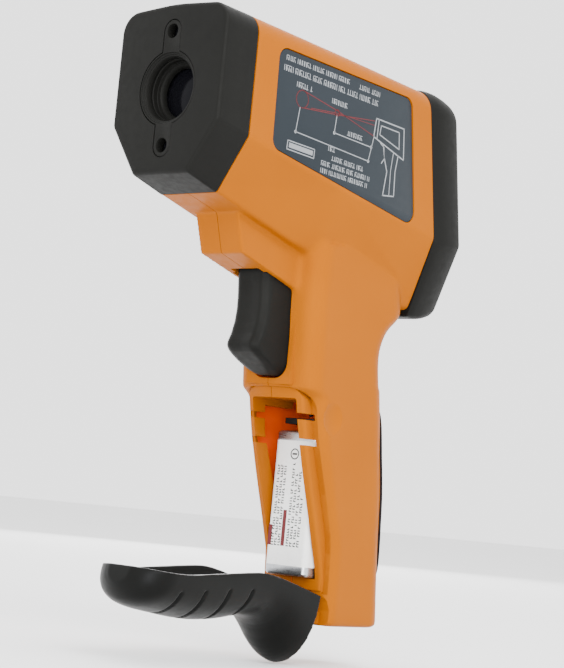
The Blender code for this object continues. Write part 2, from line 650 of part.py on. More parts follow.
# ---- battery ---------------------------------------------------------------------
def build_battery(group, skins):
    deep, wide, tall = BATTERY
    back = BATTERY_FRONT - deep
    low = BAY_FLOOR + GAP
    cell = box("battery", (back, -wide / 2.0, low), (BATTERY_FRONT, wide / 2.0, low + tall))
    soften = cell.modifiers.new("Round corners", "BEVEL")
    soften.width = 1.6 * MM
    soften.segments = 3
    cell = as_mesh(cell, "battery")
    middle = (back + BATTERY_FRONT) / 2.0
    studs = [cylinder("stud", radius, (middle + shift, 0.0, low + tall - 1.0), (middle + shift, 0.0, low + tall + 2.0))
             for radius, shift in ((2.8, 6.35), (3.6, -6.35))]
    finish(combine(cell, "UNION", *studs), "battery", skins["white"], group)

    snap_low = low + tall + GAP
    snap = box("battery_snap", (back + 0.6, -6.2, snap_low), (BATTERY_FRONT - 0.6, 6.2, snap_low + 4.6), 0.8)
    wells = [cylinder("well", radius, (middle + shift, 0.0, snap_low - 1.0), (middle + shift, 0.0, snap_low + 2.2))
             for radius, shift in ((3.1, 6.35), (3.9, -6.35))]
    finish(combine(snap, "DIFFERENCE", *wells), "battery_snap", skins["dark"], group)
    for name, skin, side in (("lead_red", "red", 1.0), ("lead_black", "dark", -1.0)):
        y = side * 1.4
        route = [(9.0, y, snap_low + 4.9), (9.0, y, BAY_TOP + 4.0), (7.0, y, BAY_TOP + 9.0), (3.0, y, 92.0),
                 (2.0, y, 104.0), (4.0, y, 118.0), (8.0, y - 1.0, 128.0), (10.0, y - 2.0, 133.4)]
        finish(wire(name, route, 0.7), name, skins[skin], group)


def wire(name, route, radius):
    """A lead along a smooth curve through the route's points."""
    points = [Vector(point) for point in route]
    padded = [2 * points[0] - points[1], *points, 2 * points[-1] - points[-2]]
    smooth = []
    for index in range(1, len(padded) - 2):
        p0, p1, p2, p3 = padded[index - 1:index + 3]
        for step in range(4):
            t = step / 4.0
            smooth.append(0.5 * (2 * p1 + (p2 - p0) * t + (2 * p0 - 5 * p1 + 4 * p2 - p3) * t ** 2
                                 + (3 * p1 - p0 - 3 * p2 + p3) * t ** 3))
    smooth.append(points[-1])
    curve = bpy.data.curves.new(name, "CURVE")
    curve.dimensions = "3D"
    curve.bevel_depth = radius * MM
    curve.bevel_resolution = 2
    curve.use_fill_caps = True
    spline = curve.splines.new("POLY")
    spline.points.add(len(smooth) - 1)
    for point, place in zip(spline.points, smooth):
        point.co = (*(place * MM), 1.0)
    made = bpy.data.objects.new(name, curve)
    bpy.context.scene.collection.objects.link(made)
    return as_mesh(made, name)


# ---- battery door ------------------------------------------------------------------
def door_rows():
    rows = []
    for height, crown in DOOR_CROWN:
        round_off = max(0.0, height - DOOR_TIP + DOOR_TIP_ROUND) / DOOR_TIP_ROUND
        half = RECESS_HALF * math.sqrt(1.0 - round_off ** 2.4)
        rear = between(GRIP_LOWER, max(height, 0.0))[1]
        rows.append((height, crown, half, rear))
    return rows


def door_ring(row, inset=0.0, back=6.0):
    """A section of the door: a half oval in front of straight sides that run on to the rear."""
    height, crown, half, rear = row
    reach = crown - rear - inset
    width = half - inset
    front = []
    for step in range(17):
        angle = math.pi * (step / 16.0 - 0.5)
        front.append((rear + reach * math.cos(angle) ** 0.8, width * math.sin(angle), height))
    return [(rear - back, -width, height), *front, (rear - back, width, height)]


def build_door(group, skins):
    rows = door_rows()
    door = loft("battery_door", [door_ring(row) for row in rows])
    room_rows = [(-1.1, 32.2, RECESS_HALF, 11.3)] + [row for row in rows if 0.0 < row[0] < 72.0]
    room = loft("door_room", [door_ring(row, 2.0, 20.0) for row in room_rows])
    slope = Matrix.Translation((8.8, 0.0, -0.7)) @ Matrix.Rotation(math.radians(SOLE_SLOPE), 4, "Y")
    sole = box("sole", (-30.0, -25.0, -15.0), (40.0, 25.0, 0.0), 0.0, slope)
    clear = grip_solid("grip_clear", GRIP_LOWER, -0.35, low=-8.0)
    door = combine(door, "DIFFERENCE", room, sole, clear,
                   box("heel_gap", (0.0, -11.2, -9.0), (22.4, 11.2, 5.4)),
                   box("recess_top", (20.0, -20.0, STEP_Z - GAP), (50.0, 20.0, 90.0)))
    tabs = []
    for height in (65.2, 57.2):
        corner = between(GRIP_LOWER, height)[1]
        for side in (-1.0, 1.0):
            low, high = sorted((side * 10.6, side * 12.6))
            tabs.append(box("tab", (corner - 1.6, low, height - 0.8), (corner + 5.0, high, height + 0.8)))
    door = combine(door, "UNION", *tabs)
    door = combine(door, "DIFFERENCE",
                   cylinder("pin_bore", 1.3, (HINGE_X, -12.5, HINGE_Z), (HINGE_X, 12.5, HINGE_Z), 16))
    swing = (Matrix.Translation(Vector((HINGE_X, 0.0, HINGE_Z)) * MM)
             @ Matrix.Rotation(math.radians(DOOR_OPEN), 4, "Y")
             @ Matrix.Translation(Vector((-HINGE_X, 0.0, -HINGE_Z)) * MM))
    door.data.transform(swing)
    finish(door, "battery_door", skins["rubber"], group, (HINGE_X, 0.0, HINGE_Z))
    finish(cylinder("door_pin", 1.0, (HINGE_X, -12.2, HINGE_Z), (HINGE_X, 12.2, HINGE_Z), 16), "door_pin",
           skins["steel"], group)


def main():
    for leftover in list(bpy.data.objects):
        bpy.data.objects.remove(leftover)
    group = collection("infrared_thermometer")
    skins = {
        "orange": material("orange_plastic", ORANGE, 0.42),
        "black": material("black_plastic", BLACK, 0.45),
        "dark": material("dark_plastic", (0.05, 0.05, 0.055), 0.55),
        "rubber": material("black_rubber", (0.018, 0.018, 0.019), 0.6),
        "label": material("label_film", (0.05, 0.052, 0.058), 0.5),
        "lens": material("lens_black", (0.004, 0.004, 0.006), 0.12),
        "glass": material("window_glass", (0.02, 0.022, 0.025), 0.05),
        "lcd": material("display_grey", (0.32, 0.36, 0.30), 0.35),
        "board": material("board_green", (0.015, 0.12, 0.045), 0.5),
        "steel": material("bright_steel", (0.62, 0.62, 0.63), 0.3, 1.0),
        "brass": material("brass", (0.70, 0.50, 0.20), 0.3, 1.0),
        "white": material("battery_white", (0.80, 0.80, 0.79), 0.35),
        "red": material("lead_red", (0.50, 0.02, 0.02), 0.5),
    }
    build_shells(group, skins["orange"])
    build_screws(group, skins["steel"])
    build_labels(group, skins["label"])
    build_pad(group, skins["rubber"])
    build_nose(group, skins)
    build_rear(group, skins)
    build_electronics(group, skins)
    build_trigger(group, skins)
    build_battery(group, skins)
    build_door(group, skins)


main()
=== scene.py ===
"""Visual model of the handheld infrared thermometer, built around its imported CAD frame.

Row frame: +X is the way the lens looks, +Y the left-hand side, +Z up; the origin is the middle of
the grip's flat base.  Shapes are drawn in millimetres and turned into metres as meshes are made.
"""
import math
import random

import bmesh
import bpy
from mathutils import Matrix, Vector


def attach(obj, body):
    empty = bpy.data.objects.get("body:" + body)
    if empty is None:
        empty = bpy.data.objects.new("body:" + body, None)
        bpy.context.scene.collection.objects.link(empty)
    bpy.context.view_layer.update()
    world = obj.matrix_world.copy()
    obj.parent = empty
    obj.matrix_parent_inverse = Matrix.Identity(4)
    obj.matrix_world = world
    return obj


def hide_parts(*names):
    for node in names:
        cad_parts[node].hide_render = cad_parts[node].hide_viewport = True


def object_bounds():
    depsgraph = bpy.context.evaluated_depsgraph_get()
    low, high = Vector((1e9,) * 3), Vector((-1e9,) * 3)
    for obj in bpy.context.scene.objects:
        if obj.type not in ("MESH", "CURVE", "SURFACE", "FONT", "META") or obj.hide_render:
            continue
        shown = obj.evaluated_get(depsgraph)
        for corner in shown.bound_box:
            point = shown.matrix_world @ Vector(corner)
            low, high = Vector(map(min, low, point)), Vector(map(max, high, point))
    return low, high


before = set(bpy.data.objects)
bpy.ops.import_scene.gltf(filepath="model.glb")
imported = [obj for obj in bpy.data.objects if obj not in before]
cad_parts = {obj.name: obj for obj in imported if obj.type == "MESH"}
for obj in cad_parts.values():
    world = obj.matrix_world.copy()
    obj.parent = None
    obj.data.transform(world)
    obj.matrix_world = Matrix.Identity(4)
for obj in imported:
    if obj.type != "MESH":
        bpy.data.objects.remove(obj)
cad_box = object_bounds()

MM = 0.001
FACE_X, AXIS_Z, BEZEL_X, TAIL_X, REAR_X, TAIL_LEAN = 90, 157, 76.3, -8, -23.5, 0.18
LASER_OFFSET, STEP_Z = 17.4, 73.8
HINGE_X, HINGE_Z, DOOR_OPEN = 19, 2.5, 74.5
BAY_TOP, BAY_FLOOR, BAY_HALF, BAY_BACK = 70.6, 14.4, 9.3, -9.85
SEAM = 0.11                      # half of the parting line's width
BASE_EDGE_R = 1.7
WELD = 0.0005                    # points closer than this in a new mesh are one point


# ---- mesh helpers
def link(name, mesh):
    made = bpy.data.objects.new(name, mesh)
    bpy.context.scene.collection.objects.link(made)
    return made


def make_object(name, bm, place=None):
    """A new object from a bmesh in millimetres, placed by a matrix in millimetres."""
    bmesh.ops.recalc_face_normals(bm, faces=bm.faces)
    bmesh.ops.transform(bm, matrix=Matrix.Scale(MM, 4) @ (place or Matrix.Identity(4)), verts=bm.verts)
    mesh = bpy.data.meshes.new(name)
    bm.to_mesh(mesh)
    bm.free()
    return link(name, mesh)


def box(name, low, high, place=None):
    bm = bmesh.new()
    bmesh.ops.create_cube(bm, size=1)
    bmesh.ops.scale(bm, vec=[h - l for l, h in zip(low, high)], verts=bm.verts)
    bmesh.ops.translate(bm, vec=[(h + l) / 2 for l, h in zip(low, high)], verts=bm.verts)
    return make_object(name, bm, place)


def cylinder(name, radius, start, end, sides=64):
    start, end = Vector(start), Vector(end)
    bm = bmesh.new()
    bmesh.ops.create_cone(bm, cap_ends=True, segments=sides, radius1=radius, radius2=radius,
        depth=(end - start).length)
    turn = (end - start).to_track_quat("Z", "Y").to_matrix().to_4x4()
    bmesh.ops.transform(bm, matrix=Matrix.Translation((start + end) / 2) @ turn, verts=bm.verts)
    return make_object(name, bm)


def ball(name, radius, centre):
    bm = bmesh.new()
    bmesh.ops.create_uvsphere(bm, u_segments=96, v_segments=48, radius=radius)
    bmesh.ops.translate(bm, vec=centre, verts=bm.verts)
    return make_object(name, bm)


def rounded(corners, steps=10):
    """Points of a closed outline whose corners (u, v, radius) are arcs of equal step counts."""
    points = []
    count = len(corners)
    for index, (u, v, radius) in enumerate(corners):
        here = Vector((u, v))
        before = (Vector(corners[index - 1][:2]) - here).normalized()
        after = (Vector(corners[(index + 1) % count][:2]) - here).normalized()
        half = before.angle(after) / 2
        reach = radius / math.tan(half)
        middle = here + (before + after).normalized() * (radius / math.sin(half))
        first = (here + before * reach - middle).normalized()
        last = (here + after * reach - middle).normalized()
        for step in range(steps + 1):
            points.append(middle + first.slerp(last, step / steps) * radius)
    return points


def loft(name, rings, place=None):
    """A closed solid through rings of equally many points."""
    bm = bmesh.new()
    rows = [[bm.verts.new(point) for point in ring] for ring in rings]
    for low, high in zip(rows, rows[1:]):
        for index in range(len(low)):
            following = (index + 1) % len(low)
            bm.faces.new((low[index], low[following], high[following], high[index]))
    bm.faces.new(rows[0][::-1])
    bm.faces.new(rows[-1])
    bmesh.ops.remove_doubles(bm, verts=bm.verts, dist=WELD)
    return make_object(name, bm, place)


def prism(name, outline, low, high, axis="Y", place=None):
    """A flat outline of (u, v) points, extruded along an axis: X uses (y, z), Y (x, z), Z (x, y)."""
    def lift(u, v, level):
        return {"X": (level, u, v), "Y": (u, level, v), "Z": (u, v, level)}[axis]
    return loft(name, [[lift(u, v, low) for u, v in outline], [lift(u, v, high) for u, v in outline]], place)


def spun(name, points, centre, axis, sides, closed=False):
    """A profile's points turned about an axis through the centre."""
    bm = bmesh.new()
    row = [bm.verts.new(point) for point in points]
    edges = [bm.edges.new(pair) for pair in zip(row, row[1:])]
    if closed:
        edges.append(bm.edges.new((row[-1], row[0])))
    bmesh.ops.spin(bm, geom=row + edges, cent=centre, axis=axis, angle=math.tau, steps=sides, use_merge=True)
    bmesh.ops.remove_doubles(bm, verts=bm.verts, dist=WELD)
    return make_object(name, bm)


def turned(name, profile, height=AXIS_Z, sides=96, centre_y=0):
    """A profile of (x, radius) points turned about an axis along X; it closes on itself or on the axis."""
    return spun(name, [(x, centre_y, height + radius) for x, radius in profile], (0, centre_y, height),
                (1, 0, 0), sides, profile[0][1] > 0 or profile[-1][1] > 0)


def turned_up(name, x, profile, sides=48):
    """A profile of (radius, z) points turned about an upright axis at x."""
    return spun(name, [(x + radius, 0, z) for radius, z in profile], (x, 0, 0), (0, 0, 1), sides)


def baked(source):
    """The object with its modifiers applied, as a plain mesh object of the same name."""
    bpy.context.view_layer.update()
    seen = source.evaluated_get(bpy.context.evaluated_depsgraph_get())
    mesh = bpy.data.meshes.new_from_object(seen)
    mesh.transform(source.matrix_world)
    name = source.name
    bpy.data.objects.remove(source)
    mesh.name = name
    return link(name, mesh)


def combine(base, operation, *others):
    """Base with each other solid joined, cut away or intersected in turn."""
    for other in others:
        for solver in ("MANIFOLD", "EXACT"):
            step = base.modifiers.new(other.name, "BOOLEAN")
            step.operation = operation
            step.solver = solver
            step.object = other
            before = len(base.data.vertices)
            bpy.context.view_layer.update()
            seen = base.evaluated_get(bpy.context.evaluated_depsgraph_get())
            if len(seen.data.vertices) > 0 and len(seen.data.vertices) != before:
                break
            base.modifiers.remove(step)
        base = baked(base)
        bpy.data.objects.remove(other)
    return base


def softened(source, voxel, passes, regions=()):
    """The solid remeshed and smoothed, so that its edges and inside corners become small fillets.

    Each region (centre, radii, passes) is smoothed further, fading out to its edge."""
    grid = source.modifiers.new("Even mesh", "REMESH")
    grid.mode = "VOXEL"
    grid.voxel_size = voxel * MM
    smooth = source.modifiers.new("Fillets", "SMOOTH")
    smooth.factor = 0.5
    smooth.iterations = passes
    made = baked(source)
    for number, (centre, radii, more) in enumerate(regions):
        group = made.vertex_groups.new(name=f"blend_{number}")
        for vert in made.data.vertices:
            reach = math.sqrt(sum(((c / MM - m) / r) ** 2 for c, m, r in zip(vert.co, centre, radii)))
            if reach < 1:
                group.add([vert.index], min(1, 2 * (1 - reach)), "REPLACE")
        extra = made.modifiers.new(f"Blend {number}", "SMOOTH")
        extra.factor = 0.5
        extra.iterations = more
        extra.vertex_group = group.name
    return baked(made) if regions else made


def bevelled(source, width, segments=3, angle=40):
    step = source.modifiers.new("Edges", "BEVEL")
    step.width = width * MM
    step.segments = segments
    step.limit_method = "ANGLE"
    step.angle_limit = math.radians(angle)
    step.harden_normals = False
    return baked(source)


def shown(piece, skin, node=None, body="housing", angle=32):
    """Shade a finished visual piece, give it its material, attach it to its body and hide the frame part it
    replaces.
    """
    piece.data.name = piece.name
    piece.data.materials.clear()
    piece.data.materials.append(SKINS[skin])
    piece.data.shade_smooth()
    piece.data.set_sharp_from_angle(angle=math.radians(angle))
    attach(piece, body)
    if node:
        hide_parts(node)


def curved(table, height):
    """A row of the table at a height, on a smooth curve through its rows."""
    index = 0
    while index < len(table) - 2 and height > table[index + 1][0]:
        index += 1
    rows = [table[max(index - 1, 0)], table[index], table[index + 1], table[min(index + 2, len(table) - 1)]]
    span = rows[2][0] - rows[1][0]
    t = (height - rows[1][0]) / span
    values = []
    for a, b, c, d in zip(*rows):
        low = (c - a) / max(rows[2][0] - rows[0][0], 1e-6) * span
        high = (d - b) / max(rows[3][0] - rows[1][0], 1e-6) * span
        values.append((2 * t ** 3 - 3 * t * t + 1) * b + (t ** 3 - 2 * t * t + t) * low
                      + (3 * t * t - 2 * t ** 3) * c + (t ** 3 - t * t) * high)
    return values[1:]


def joined(name, pieces):
    """Separate small solids as one object."""
    bm = bmesh.new()
    for piece in pieces:
        bm.from_mesh(piece.data)
        bpy.data.objects.remove(piece)
    mesh = bpy.data.meshes.new(name)
    bm.to_mesh(mesh)
    bm.free()
    return link(name, mesh)


def circle(u, v, radius, sides=20):
    return [(u + radius * math.cos(math.tau * k / sides), v + radius * math.sin(math.tau * k / sides))
            for k in range(sides)]


def oblong(low, high, radius, level):
    """A rectangle with rounded corners, at a level."""
    (left, bottom), (right, top) = low, high
    corners = [(right, top), (left, top), (left, bottom), (right, bottom)]
    return [(u, v, level) for u, v in rounded([(*corner, radius) for corner in corners], 8)]


# ---- materials
def new_material(name, colour, roughness, metallic=0, specular=0.5, tint=(1, 1, 1), coat=0,
        coat_roughness=0.1):
    made = bpy.data.materials.new(name)
    made.use_nodes = True
    tree = made.node_tree
    shader = tree.nodes["Principled BSDF"]
    for socket, value in (("Base Color", (*colour, 1)), ("Roughness", roughness), ("Metallic", metallic),
            ("Specular IOR Level", specular), ("Specular Tint", (*tint, 1)), ("Coat Weight", coat),
            ("Coat Roughness", coat_roughness)):
        shader.inputs[socket].default_value = value
    where = tree.nodes.new("ShaderNodeTexCoord")
    return made, tree, shader, where.outputs["Object"]


def noise_node(tree, where, scale, detail=3, roughness=0.55):
    made = tree.nodes.new("ShaderNodeTexNoise")
    made.inputs["Scale"].default_value = scale
    made.inputs["Detail"].default_value = detail
    made.inputs["Roughness"].default_value = roughness
    tree.links.new(where, made.inputs["Vector"])
    return made.outputs["Fac"]


def spread(tree, value, low, high):
    """The middle of a noise value's range, stretched between two limits."""
    made = tree.nodes.new("ShaderNodeMapRange")
    for socket, level in (("From Min", 0.3), ("From Max", 0.7), ("To Min", low), ("To Max", high)):
        made.inputs[socket].default_value = level
    tree.links.new(value, made.inputs["Value"])
    return made.outputs["Result"]


def tinted(tree, value, dark, light):
    """A noise value turned into a colour between two."""
    made = tree.nodes.new("ShaderNodeValToRGB")
    for stop, position, colour in zip(made.color_ramp.elements, (0.3, 0.7), (dark, light)):
        stop.position = position
        stop.color = (*colour, 1)
    tree.links.new(value, made.inputs["Fac"])
    return made.outputs["Color"]


def bump(tree, shader, heights, strength, distance):
    """Bump from one or more heights; each is (value, weight)."""
    total = None
    for value, weight in heights:
        scaled = tree.nodes.new("ShaderNodeMath")
        scaled.operation = "MULTIPLY_ADD"
        scaled.inputs[1].default_value = weight
        scaled.inputs[2].default_value = 0
        tree.links.new(value, scaled.inputs[0])
        if total is not None:
            tree.links.new(total, scaled.inputs[2])
        total = scaled.outputs[0]
    made = tree.nodes.new("ShaderNodeBump")
    made.inputs["Strength"].default_value = strength
    made.inputs["Distance"].default_value = distance
    tree.links.new(total, made.inputs["Height"])
    tree.links.new(made.outputs["Normal"], shader.inputs["Normal"])


def moulded(name, dark, light, roughness, grain=2600, depth=0.3, strength=0.35, wave=0.8,
            rough_spread=0.06, **more):
    """Moulded plastic or rubber: a fine spark-eroded grain, a slow waviness and a faint mottling.

    The grain's depth and the wave's are in tenths of a millimetre."""
    made, tree, shader, where = new_material(name, light, roughness, **more)
    slow = noise_node(tree, where, 26, 4)
    fine = noise_node(tree, where, grain, 2, 0.7)
    middle = noise_node(tree, where, 420, 3)
    tree.links.new(tinted(tree, slow, dark, light), shader.inputs["Base Color"])
    tree.links.new(spread(tree, middle, roughness - rough_spread, roughness + rough_spread),
                   shader.inputs["Roughness"])
    bump(tree, shader, [(fine, depth), (slow, wave)], strength, 0.1 * MM)
    return made


def metal(name, dark, light, roughness=0.28):
    """Metal with a fine drawn grain and slight tarnish."""
    made, tree, shader, where = new_material(name, light, roughness, metallic=1)
    drawn = tree.nodes.new("ShaderNodeMapping")
    drawn.inputs["Scale"].default_value = (1, 1, 14)
    tree.links.new(where, drawn.inputs["Vector"])
    grain = noise_node(tree, drawn.outputs["Vector"], 900, 3)
    tarnish = noise_node(tree, where, 160, 4)
    tree.links.new(tinted(tree, tarnish, dark, light), shader.inputs["Base Color"])
    tree.links.new(spread(tree, grain, roughness - 0.08, roughness + 0.12), shader.inputs["Roughness"])
    bump(tree, shader, [(grain, 1)], 0.25, 0.00003)
    return made


def board_skin(name):
    """Green coated board with faint copper tracks under the coat."""
    made, tree, shader, where = new_material(name, (0.02, 0.16, 0.06), 0.35, coat=0.5)
    tracks = tree.nodes.new("ShaderNodeTexBrick")
    for socket, value in (("Scale", 260), ("Color1", (0.015, 0.13, 0.05, 1)),
            ("Color2", (0.02, 0.17, 0.07, 1)), ("Mortar", (0.06, 0.26, 0.10, 1))):
        tracks.inputs[socket].default_value = value
    tree.links.new(where, tracks.inputs["Vector"])
    tree.links.new(tracks.outputs["Color"], shader.inputs["Base Color"])
    bump(tree, shader, [(tracks.outputs["Fac"], -1), (noise_node(tree, where, 900), 0.3)], 0.4, 0.00005)
    return made


def glass_skin(name):
    made, tree, shader, where = new_material(name, (0.10, 0.105, 0.11), 0.06, coat=1, coat_roughness=0.04)
    shader.inputs["Alpha"].default_value = 0.42
    shader.inputs["IOR"].default_value = 1.49
    tree.links.new(spread(tree, noise_node(tree, where, 180), 0.03, 0.10), shader.inputs["Roughness"])
    bump(tree, shader, [(noise_node(tree, where, 60), 1)], 0.05, 0.00005)
    return made


def all_skins():
    return {
        "orange": moulded("orange_plastic", (0.262, 0.068, 0), (0.285, 0.076, 0), 0.44, grain=3200,
            depth=0.2, strength=0.22, specular=0.08, tint=(1, 0.40, 0.02)),
        # Deeper, redder orange for faces lining the battery compartment and the trigger slot: painted bounce
        # light and shade of these recesses, on the same plastic as outside.
        "bay": moulded("orange_painted_bounce_light", (0.66, 0.060, 0), (0.72, 0.070, 0), 0.44, specular=0.08,
            tint=(1, 0.20, 0.01)),
        "black": moulded("black_plastic", (0.0052, 0.0052, 0.0047), (0.0070, 0.0070, 0.0063), 0.52,
            grain=2800, depth=0.3, strength=0.14, specular=0.10, tint=(0.5, 0.5, 0.5)),
        "dark": moulded("dark_plastic", (0.004, 0.004, 0.004), (0.007, 0.007, 0.007), 0.5, specular=0.15),
        "rubber": moulded("black_rubber", (0.0055, 0.0052, 0.0052), (0.0080, 0.0076, 0.0076), 0.46,
            grain=2000, depth=0.4, strength=0.35, specular=0.10, tint=(0.5, 0.5, 0.5)),
        "door": moulded("door_rubber", (0.0036, 0.0037, 0.0033), (0.0052, 0.0053, 0.0047), 0.36,
            grain=2200, depth=0.3, strength=0.25, specular=0.12, tint=(0.36, 0.37, 0.40)),
        "pad": moulded("pad_rubber", (0.010, 0.009, 0.011), (0.014, 0.012, 0.015), 0.55, grain=1500,
            depth=0.6, strength=0.4, specular=0.2),
        "label": moulded("label_film", (0.0130, 0.0165, 0.0200), (0.0160, 0.0200, 0.0240), 0.42,
            grain=5200, depth=0.1, strength=0.2, rough_spread=0.04, specular=0.15, tint=(0.6, 0.65, 0.7)),
        "ink": moulded("white_ink", (0.17, 0.18, 0.19), (0.22, 0.23, 0.24), 0.5, wave=0, specular=0.2),
        "red_ink": moulded("red_ink", (0.075, 0.008, 0.010), (0.11, 0.012, 0.014), 0.5, wave=0,
            specular=0.2),
        "grey_ink": moulded("grey_ink", (0.008, 0.008, 0.009), (0.016, 0.016, 0.018), 0.5, wave=0,
            specular=0.2),
        "lens": moulded("lens_black", (0.002, 0.002, 0.003), (0.004, 0.004, 0.005), 0.14, grain=60,
            depth=0, wave=0, strength=0.02, rough_spread=0.03, specular=0.12, tint=(0.3, 0.3, 0.34)),
        "glass": glass_skin("window_glass"),
        "lcd": moulded("display_grey", (0.12, 0.14, 0.11), (0.15, 0.17, 0.135), 0.30, grain=3400,
            depth=0.1, strength=0.15, specular=0.3),
        "board": board_skin("board_green"),
        "steel": metal("bright_steel", (0.30, 0.30, 0.31), (0.38, 0.38, 0.39)),
        "brass": metal("brass", (0.34, 0.24, 0.09), (0.42, 0.31, 0.13)),
        "white": moulded("battery_white", (0.70, 0.70, 0.68), (0.80, 0.80, 0.79), 0.30, grain=900,
            depth=0.1, strength=0.2, specular=0.4),
        "silver": metal("battery_silver", (0.40, 0.41, 0.43), (0.52, 0.53, 0.55), 0.30),
        "red_wire": moulded("lead_red", (0.16, 0.004, 0.004), (0.22, 0.007, 0.007), 0.38, wave=0,
            specular=0.2),
    }


SKINS = all_skins()


# ---- outlines of the body
SIDES = (1, -1)
CORNER_Y, CORNER_Z, RIM_CORNER_Z = 7.3, 67, 69.5     # centres of the recess's rounded corners


def side_y(x):
    """Half width of the head at a distance along X."""
    return 22.3 + 0.027 * (FACE_X - x)


def head_outline(x, inset=0):
    """Outline of the head across X as (y, z): crowned top, upright sides, keel below."""
    back, behind = FACE_X - x, max(0, TAIL_X - x)
    top = AXIS_Z + 26 - 0.056 * back - 0.08 * behind - inset
    side = side_y(x) - inset
    knee = 146.6 - 0.2 * back + 0.24 * behind + 0.35 * inset
    keel_half = 11.6 + 0.015 * back - 0.5 * inset
    keel = 131.3 - 0.29 * back + 0.44 * behind + inset
    shoulder = top - 1.4
    big = max(6.8 - inset, 2)
    keel_r = 1.3 + 0.24 * behind
    return rounded([
        (0, top, 80), (-side, shoulder, big), (-side, knee, 2.2), (-keel_half, keel, keel_r),
        (keel_half, keel, keel_r), (side, knee, 2.2), (side, shoulder, big)])


def head_ring(x, lean=0, inset=0):
    return [(x + lean * (z - AXIS_Z), y, z) for y, z in head_outline(x, inset)]


# height: ledge of the door's recess, half width, rear of the grip
LEDGE = (
    (-3, 11.3, 15.1, -20.2), (0, 11.3, 15.2, -20), (15, 11.5, 15.4, -18.2), (26, 12.4, 15.6, -17),
    (34, 14.8, 15.75, -16.3), (42, 17.6, 15.9, -15.6), (50, 20.4, 16, -14.4), (57, 22.8, 16.1, -13.1),
    (66, 24.9, 16.2, -11.8), (78, 26.6, 16.3, -9.8),
)
# height: front crown, front corner, half width, rear of the grip
NECK = (
    (STEP_Z, 33.4, 29.6, 16.3, -10.4), (80, 33.9, 30.2, 16.4, -8.7), (88, 34.4, 31, 16.5, -7.7),
    (93, 34.7, 31.4, 16.6, -8.7), (97, 35, 31.8, 16.7, -11), (102, 35.2, 32, 16.8, -16.2),
    (106, 35.2, 32, 16.8, -16.2), (120, 35.4, 32, 17, -13.6),
)
NECK_CORNER_R, REAR_CORNER_R, CROWN_R = 6.5, 8, 30
# height: crown and corner of the rim around the battery opening
RIM = (
    (-2, 12.6, 11.6), (15, 13, 12), (26, 17, 15.2), (34, 20, 17.8), (42, 22.8, 20.6),
    (50, 25.4, 23.3), (57, 27.6, 25.4), (66, 30.2, 27.8), (74, 32, 29.4),
)


def d_ring(height, crown, corner, half, rear, front_r):
    """The grip's outline at a height: crowned front and back, rounded corners."""
    outline = rounded([
        (crown, 0, CROWN_R), (corner, half, front_r), (rear + 2, half - 0.6, REAR_CORNER_R),
        (rear, 0, CROWN_R), (rear + 2, 0.6 - half, REAR_CORNER_R), (corner, -half, front_r)])
    return [(x, y, height) for x, y in outline]


def steps_between(low, high, count):
    return [low + (high - low) * step / count for step in range(count + 1)]


def grip_low(name, inset=0):
    """The grip below the step, its base edge rounded."""
    rings = []
    for height in [0, 0.1, 0.3, 0.6, 1] + steps_between(BASE_EDGE_R, 77, 26):
        short = max(BASE_EDGE_R - height, 0)
        trim = inset + BASE_EDGE_R - math.sqrt(BASE_EDGE_R ** 2 - short ** 2)
        ledge, half, rear = curved(LEDGE, height)
        rings.append(d_ring(height, ledge + 0.15 - trim, ledge - trim, half - trim, rear + trim,
            max(4.2 - inset, 1)))
    return loft(name, rings)


def grip_high(name, inset=0, low=None):
    rings = []
    for height in steps_between(NECK[0][0], NECK[-1][0], 30):
        crown, corner, half, rear = curved(NECK, height)
        level = low if low is not None and height == NECK[0][0] else height
        rings.append(d_ring(level, crown - inset, corner - inset, half - inset, rear + inset,
            max(NECK_CORNER_R - inset, 1.5)))
    return loft(name, rings)


def snout():
    """The block over the trigger that the fingers rest against."""
    return prism("snout", [(67, 134), (63.8, 124.5), (59.8, 112), (41, 106.6), (34, 104.4), (20, 104.4),
        (20, 134)], -9, 9)


def quarter(side, height, radius, turn=1):
    """A quarter circle (y, z) at an upper corner of the recess, from its side to its top or back again."""
    return [(side * (CORNER_Y + radius * math.cos(a)), height + radius * math.sin(a))
            for a in (math.radians(d) for d in list(range(0, 91, 9))[::turn])]


def recess_corners():
    """Rounds the recess's two upper corners, carrying the side walls up to the step."""
    pieces = []
    for side in SIDES:
        outline = [(side * 17.5, CORNER_Z), *quarter(side, CORNER_Z, 6.7), (side * CORNER_Y, 76),
                   (side * 17.5, 76)]
        block = prism("corner_block", outline, 5, 45, "X")
        rows = ((60, 22.4, 20.8, 16.2, 3.6), (67, 26.4, 23.8, 16.25, 5), (71.5, 29.6, 26.4, 16.3, 6),
                (STEP_Z - 0.2, 33.2, 29.4, 16.3, NECK_CORNER_R), (77, 33.7, 29.9, 16.35, NECK_CORNER_R))
        slope = loft("corner_slope", [d_ring(*row[:4], -9, row[4]) for row in rows])
        pieces.append(combine(slope, "INTERSECT", block))
    return pieces


def housing_outside():
    """The whole orange body before its openings are cut, with soft edges."""
    middle = (BEZEL_X + TAIL_X) / 2
    head = loft("outside", [head_ring(BEZEL_X + 5), head_ring(middle, TAIL_LEAN / 2),
        head_ring(TAIL_X - 6, TAIL_LEAN)])
    body = combine(head, "UNION", grip_low("low"), grip_high("high"), snout(), *recess_corners())
    beside_snout = [((33, side * 13, 112), (9, 9, 15), 60) for side in SIDES]
    body = softened(body, 0.5, 6, [*beside_snout, ((-10, 0, 100), (14, 30, 12), 30)])
    front = box("front_trim", (BEZEL_X, -60, 90), (150, 60, 220))
    lean = Matrix.Identity(4)
    lean[0][2] = TAIL_LEAN
    rear = box("rear_trim", (-80, -60, -62), (0, 60, 60),
               Matrix.Translation((TAIL_X, 0, AXIS_Z)) @ lean)
    return combine(body, "DIFFERENCE", front, rear)


